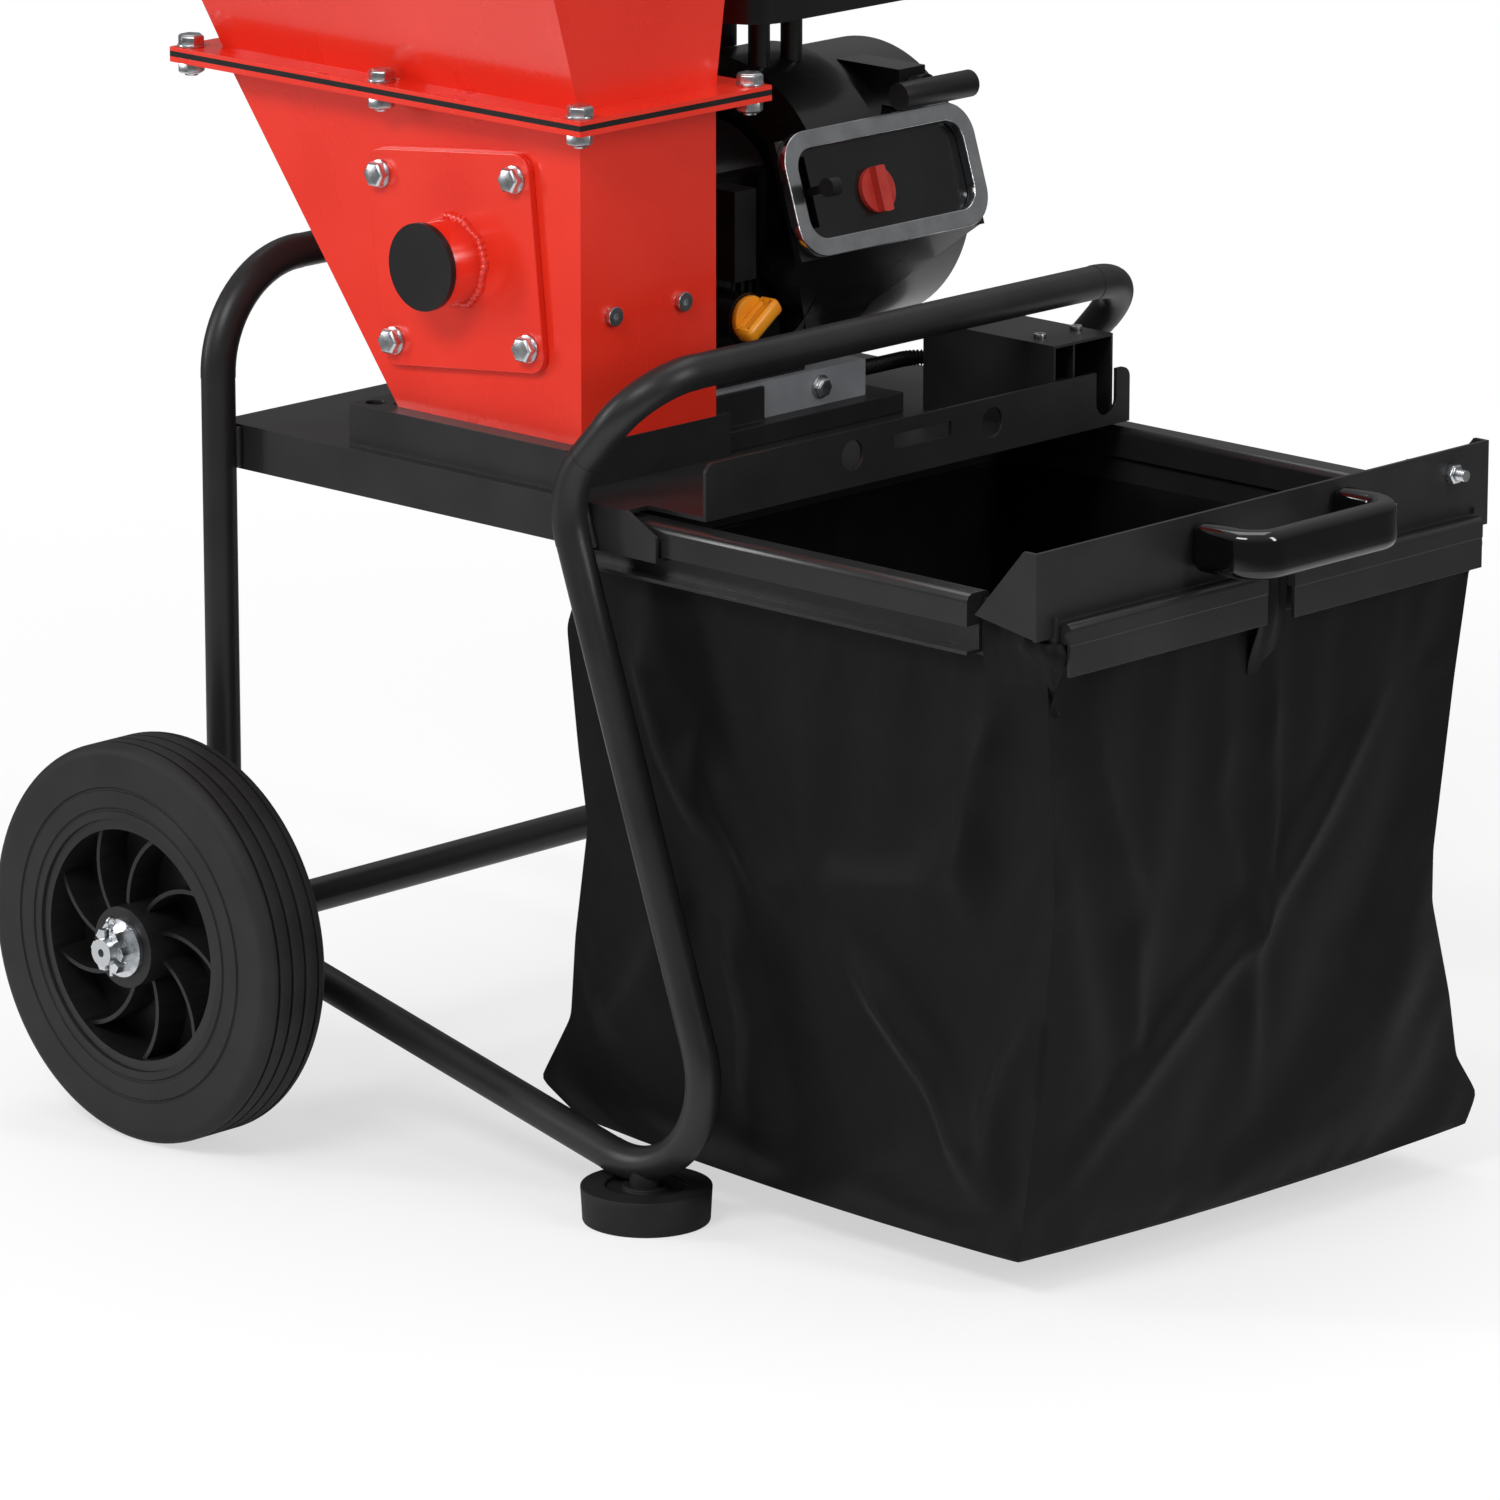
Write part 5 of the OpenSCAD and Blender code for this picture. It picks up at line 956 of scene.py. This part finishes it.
# ---------------------------------------------------------------- studio
def studio():
    """Camera, white surroundings, floor and four softboxes."""
    scene = bpy.context.scene
    scene.view_settings.view_transform = "Standard"

    lens = bpy.data.cameras.new("studio_camera")
    lens.sensor_width = 36
    lens.lens = 216
    lens.clip_start = 0.1
    lens.clip_end = 60
    camera = bpy.data.objects.new("studio_camera", lens)
    bpy.context.collection.objects.link(camera)
    # Place and direction were solved by least squares from points on the machine
    right = Vector((0.7216, 0.69231, 0.0)).normalized()
    ahead = Vector((-0.66909, 0.6974, -0.25683)).normalized()
    up = right.cross(ahead).normalized()
    turn = Matrix((right, up, -ahead)).transposed().to_4x4()
    camera.matrix_world = Matrix.Translation((4.25109 + FOOT_X, -4.5823, 1.95448)) @ turn
    scene.camera = camera

    world = bpy.data.worlds.new("white_tent")
    scene.world = world
    world.use_nodes = True
    t = world.node_tree
    back = t.nodes["Background"]
    # The camera sees plain white; gloss sees the white overhead and a dim room at eye level
    path = add(t, "ShaderNodeLightPath")
    where = add(t, "ShaderNodeTexCoord")
    axes = add(t, "ShaderNodeSeparateXYZ", {"Vector": where.outputs["Generated"]})
    tent = add(t, "ShaderNodeMapRange", {"Value": axes.outputs["Z"]}, From_Min=0.05, From_Max=0.9, To_Min=0.12,
               To_Max=0.45)
    mirror = add(t, "ShaderNodeMath",
                 {0: path.outputs["Is Glossy Ray"], 1: path.outputs["Is Transmission Ray"]},
                 operation="MAXIMUM")
    level = add(t, "ShaderNodeMapRange",
                {"Value": mirror.outputs["Value"], "To Max": tent.outputs["Result"]}, To_Min=0.42)
    seen = add(t, "ShaderNodeMath",
               {0: path.outputs["Is Camera Ray"], 1: level.outputs["Result"]}, operation="MAXIMUM")
    t.links.new(seen.outputs["Value"], back.inputs["Strength"])
    back.inputs["Color"].default_value = (1.0, 1.0, 1.0, 1.0)

    # The floor keeps the shadow near the machine and goes over into the white behind it
    floor_r, fade_from, fade_to, own_light = 2.6, 0.8, 2.2, 0.6
    bpy.ops.object.select_all(action="DESELECT")
    bpy.ops.mesh.primitive_circle_add(vertices=96, radius=floor_r, fill_type="NGON", location=(0, 0, 0))
    floor = bpy.context.object
    floor.name = "floor"
    m, t, s = surface("pale_floor", Roughness=0.9, Specular_IOR_Level=0.0)
    s.inputs["Base Color"].default_value = (0.93, 0.93, 0.93, 1.0)
    path = add(t, "ShaderNodeLightPath")
    half = add(t, "ShaderNodeMath", {0: path.outputs["Is Camera Ray"]}, operation="MULTIPLY")
    half.inputs[1].default_value = own_light
    glow = add(t, "ShaderNodeEmission", Strength=1.0)
    lit = add(t, "ShaderNodeMixShader",
              {0: half.outputs["Value"], 1: s.outputs["BSDF"], 2: glow.outputs["Emission"]})
    where = add(t, "ShaderNodeTexCoord")
    far = add(t, "ShaderNodeVectorMath", {0: where.outputs["Object"]}, operation="LENGTH")
    fade = add(t, "ShaderNodeMapRange", {"Value": far.outputs["Value"]}, interpolation_type="SMOOTHSTEP",
               From_Min=fade_from, From_Max=fade_to)
    clear = add(t, "ShaderNodeBsdfTransparent")
    ground = add(t, "ShaderNodeMixShader",
                 {0: fade.outputs["Result"], 1: lit.outputs["Shader"], 2: clear.outputs["BSDF"]})
    t.links.new(ground.outputs["Shader"], t.nodes["Material Output"].inputs["Surface"])
    floor.data.materials.append(m)

    def lamp(name, place, aim, size, power):
        light = bpy.data.lights.new(name, "AREA")
        light.shape = "RECTANGLE"
        light.size, light.size_y = size
        light.energy = power
        o = bpy.data.objects.new(name, light)
        bpy.context.collection.objects.link(o)
        o.location = place
        o.rotation_euler = (Vector(aim) - Vector(place)).to_track_quat("-Z", "Y").to_euler()

    lamp("key_softbox", (0.6, -3.2, 3.2), (0, 0, 0.4), (1.8, 1.0), 75)
    lamp("fill_softbox", (3.4, 0.4, 2.2), (0, 0, 0.4), (0.5, 2.2), 45)
    lamp("side_softbox", (-3.0, -2.6, 1.5), (0.2, 0, 0.3), (0.5, 2.0), 44)
    lamp("top_softbox", (-0.6, 0.6, 4.0), (0, 0, 0.5), (2.6, 2.6), 50)


studio()
wiring_conduit()
ease(0.8, "deck", "housing_base", "housing", "hopper", "bearing_plate", "engine_rails", "mount_channels",
     "drawer_frame", "trim_panel")
ease(1.2, "switch_box", "rim_strips", "feet", "left_hub", "right_hub", "starter_grip")
ease(1.5, "left_tyre", "right_tyre")
pull_handle()
machine_bolts()
engine_bolts()
socket_screws()
latch_stud()
oil_dipstick()
weld_beads()
boss_weld()
bag_piece()
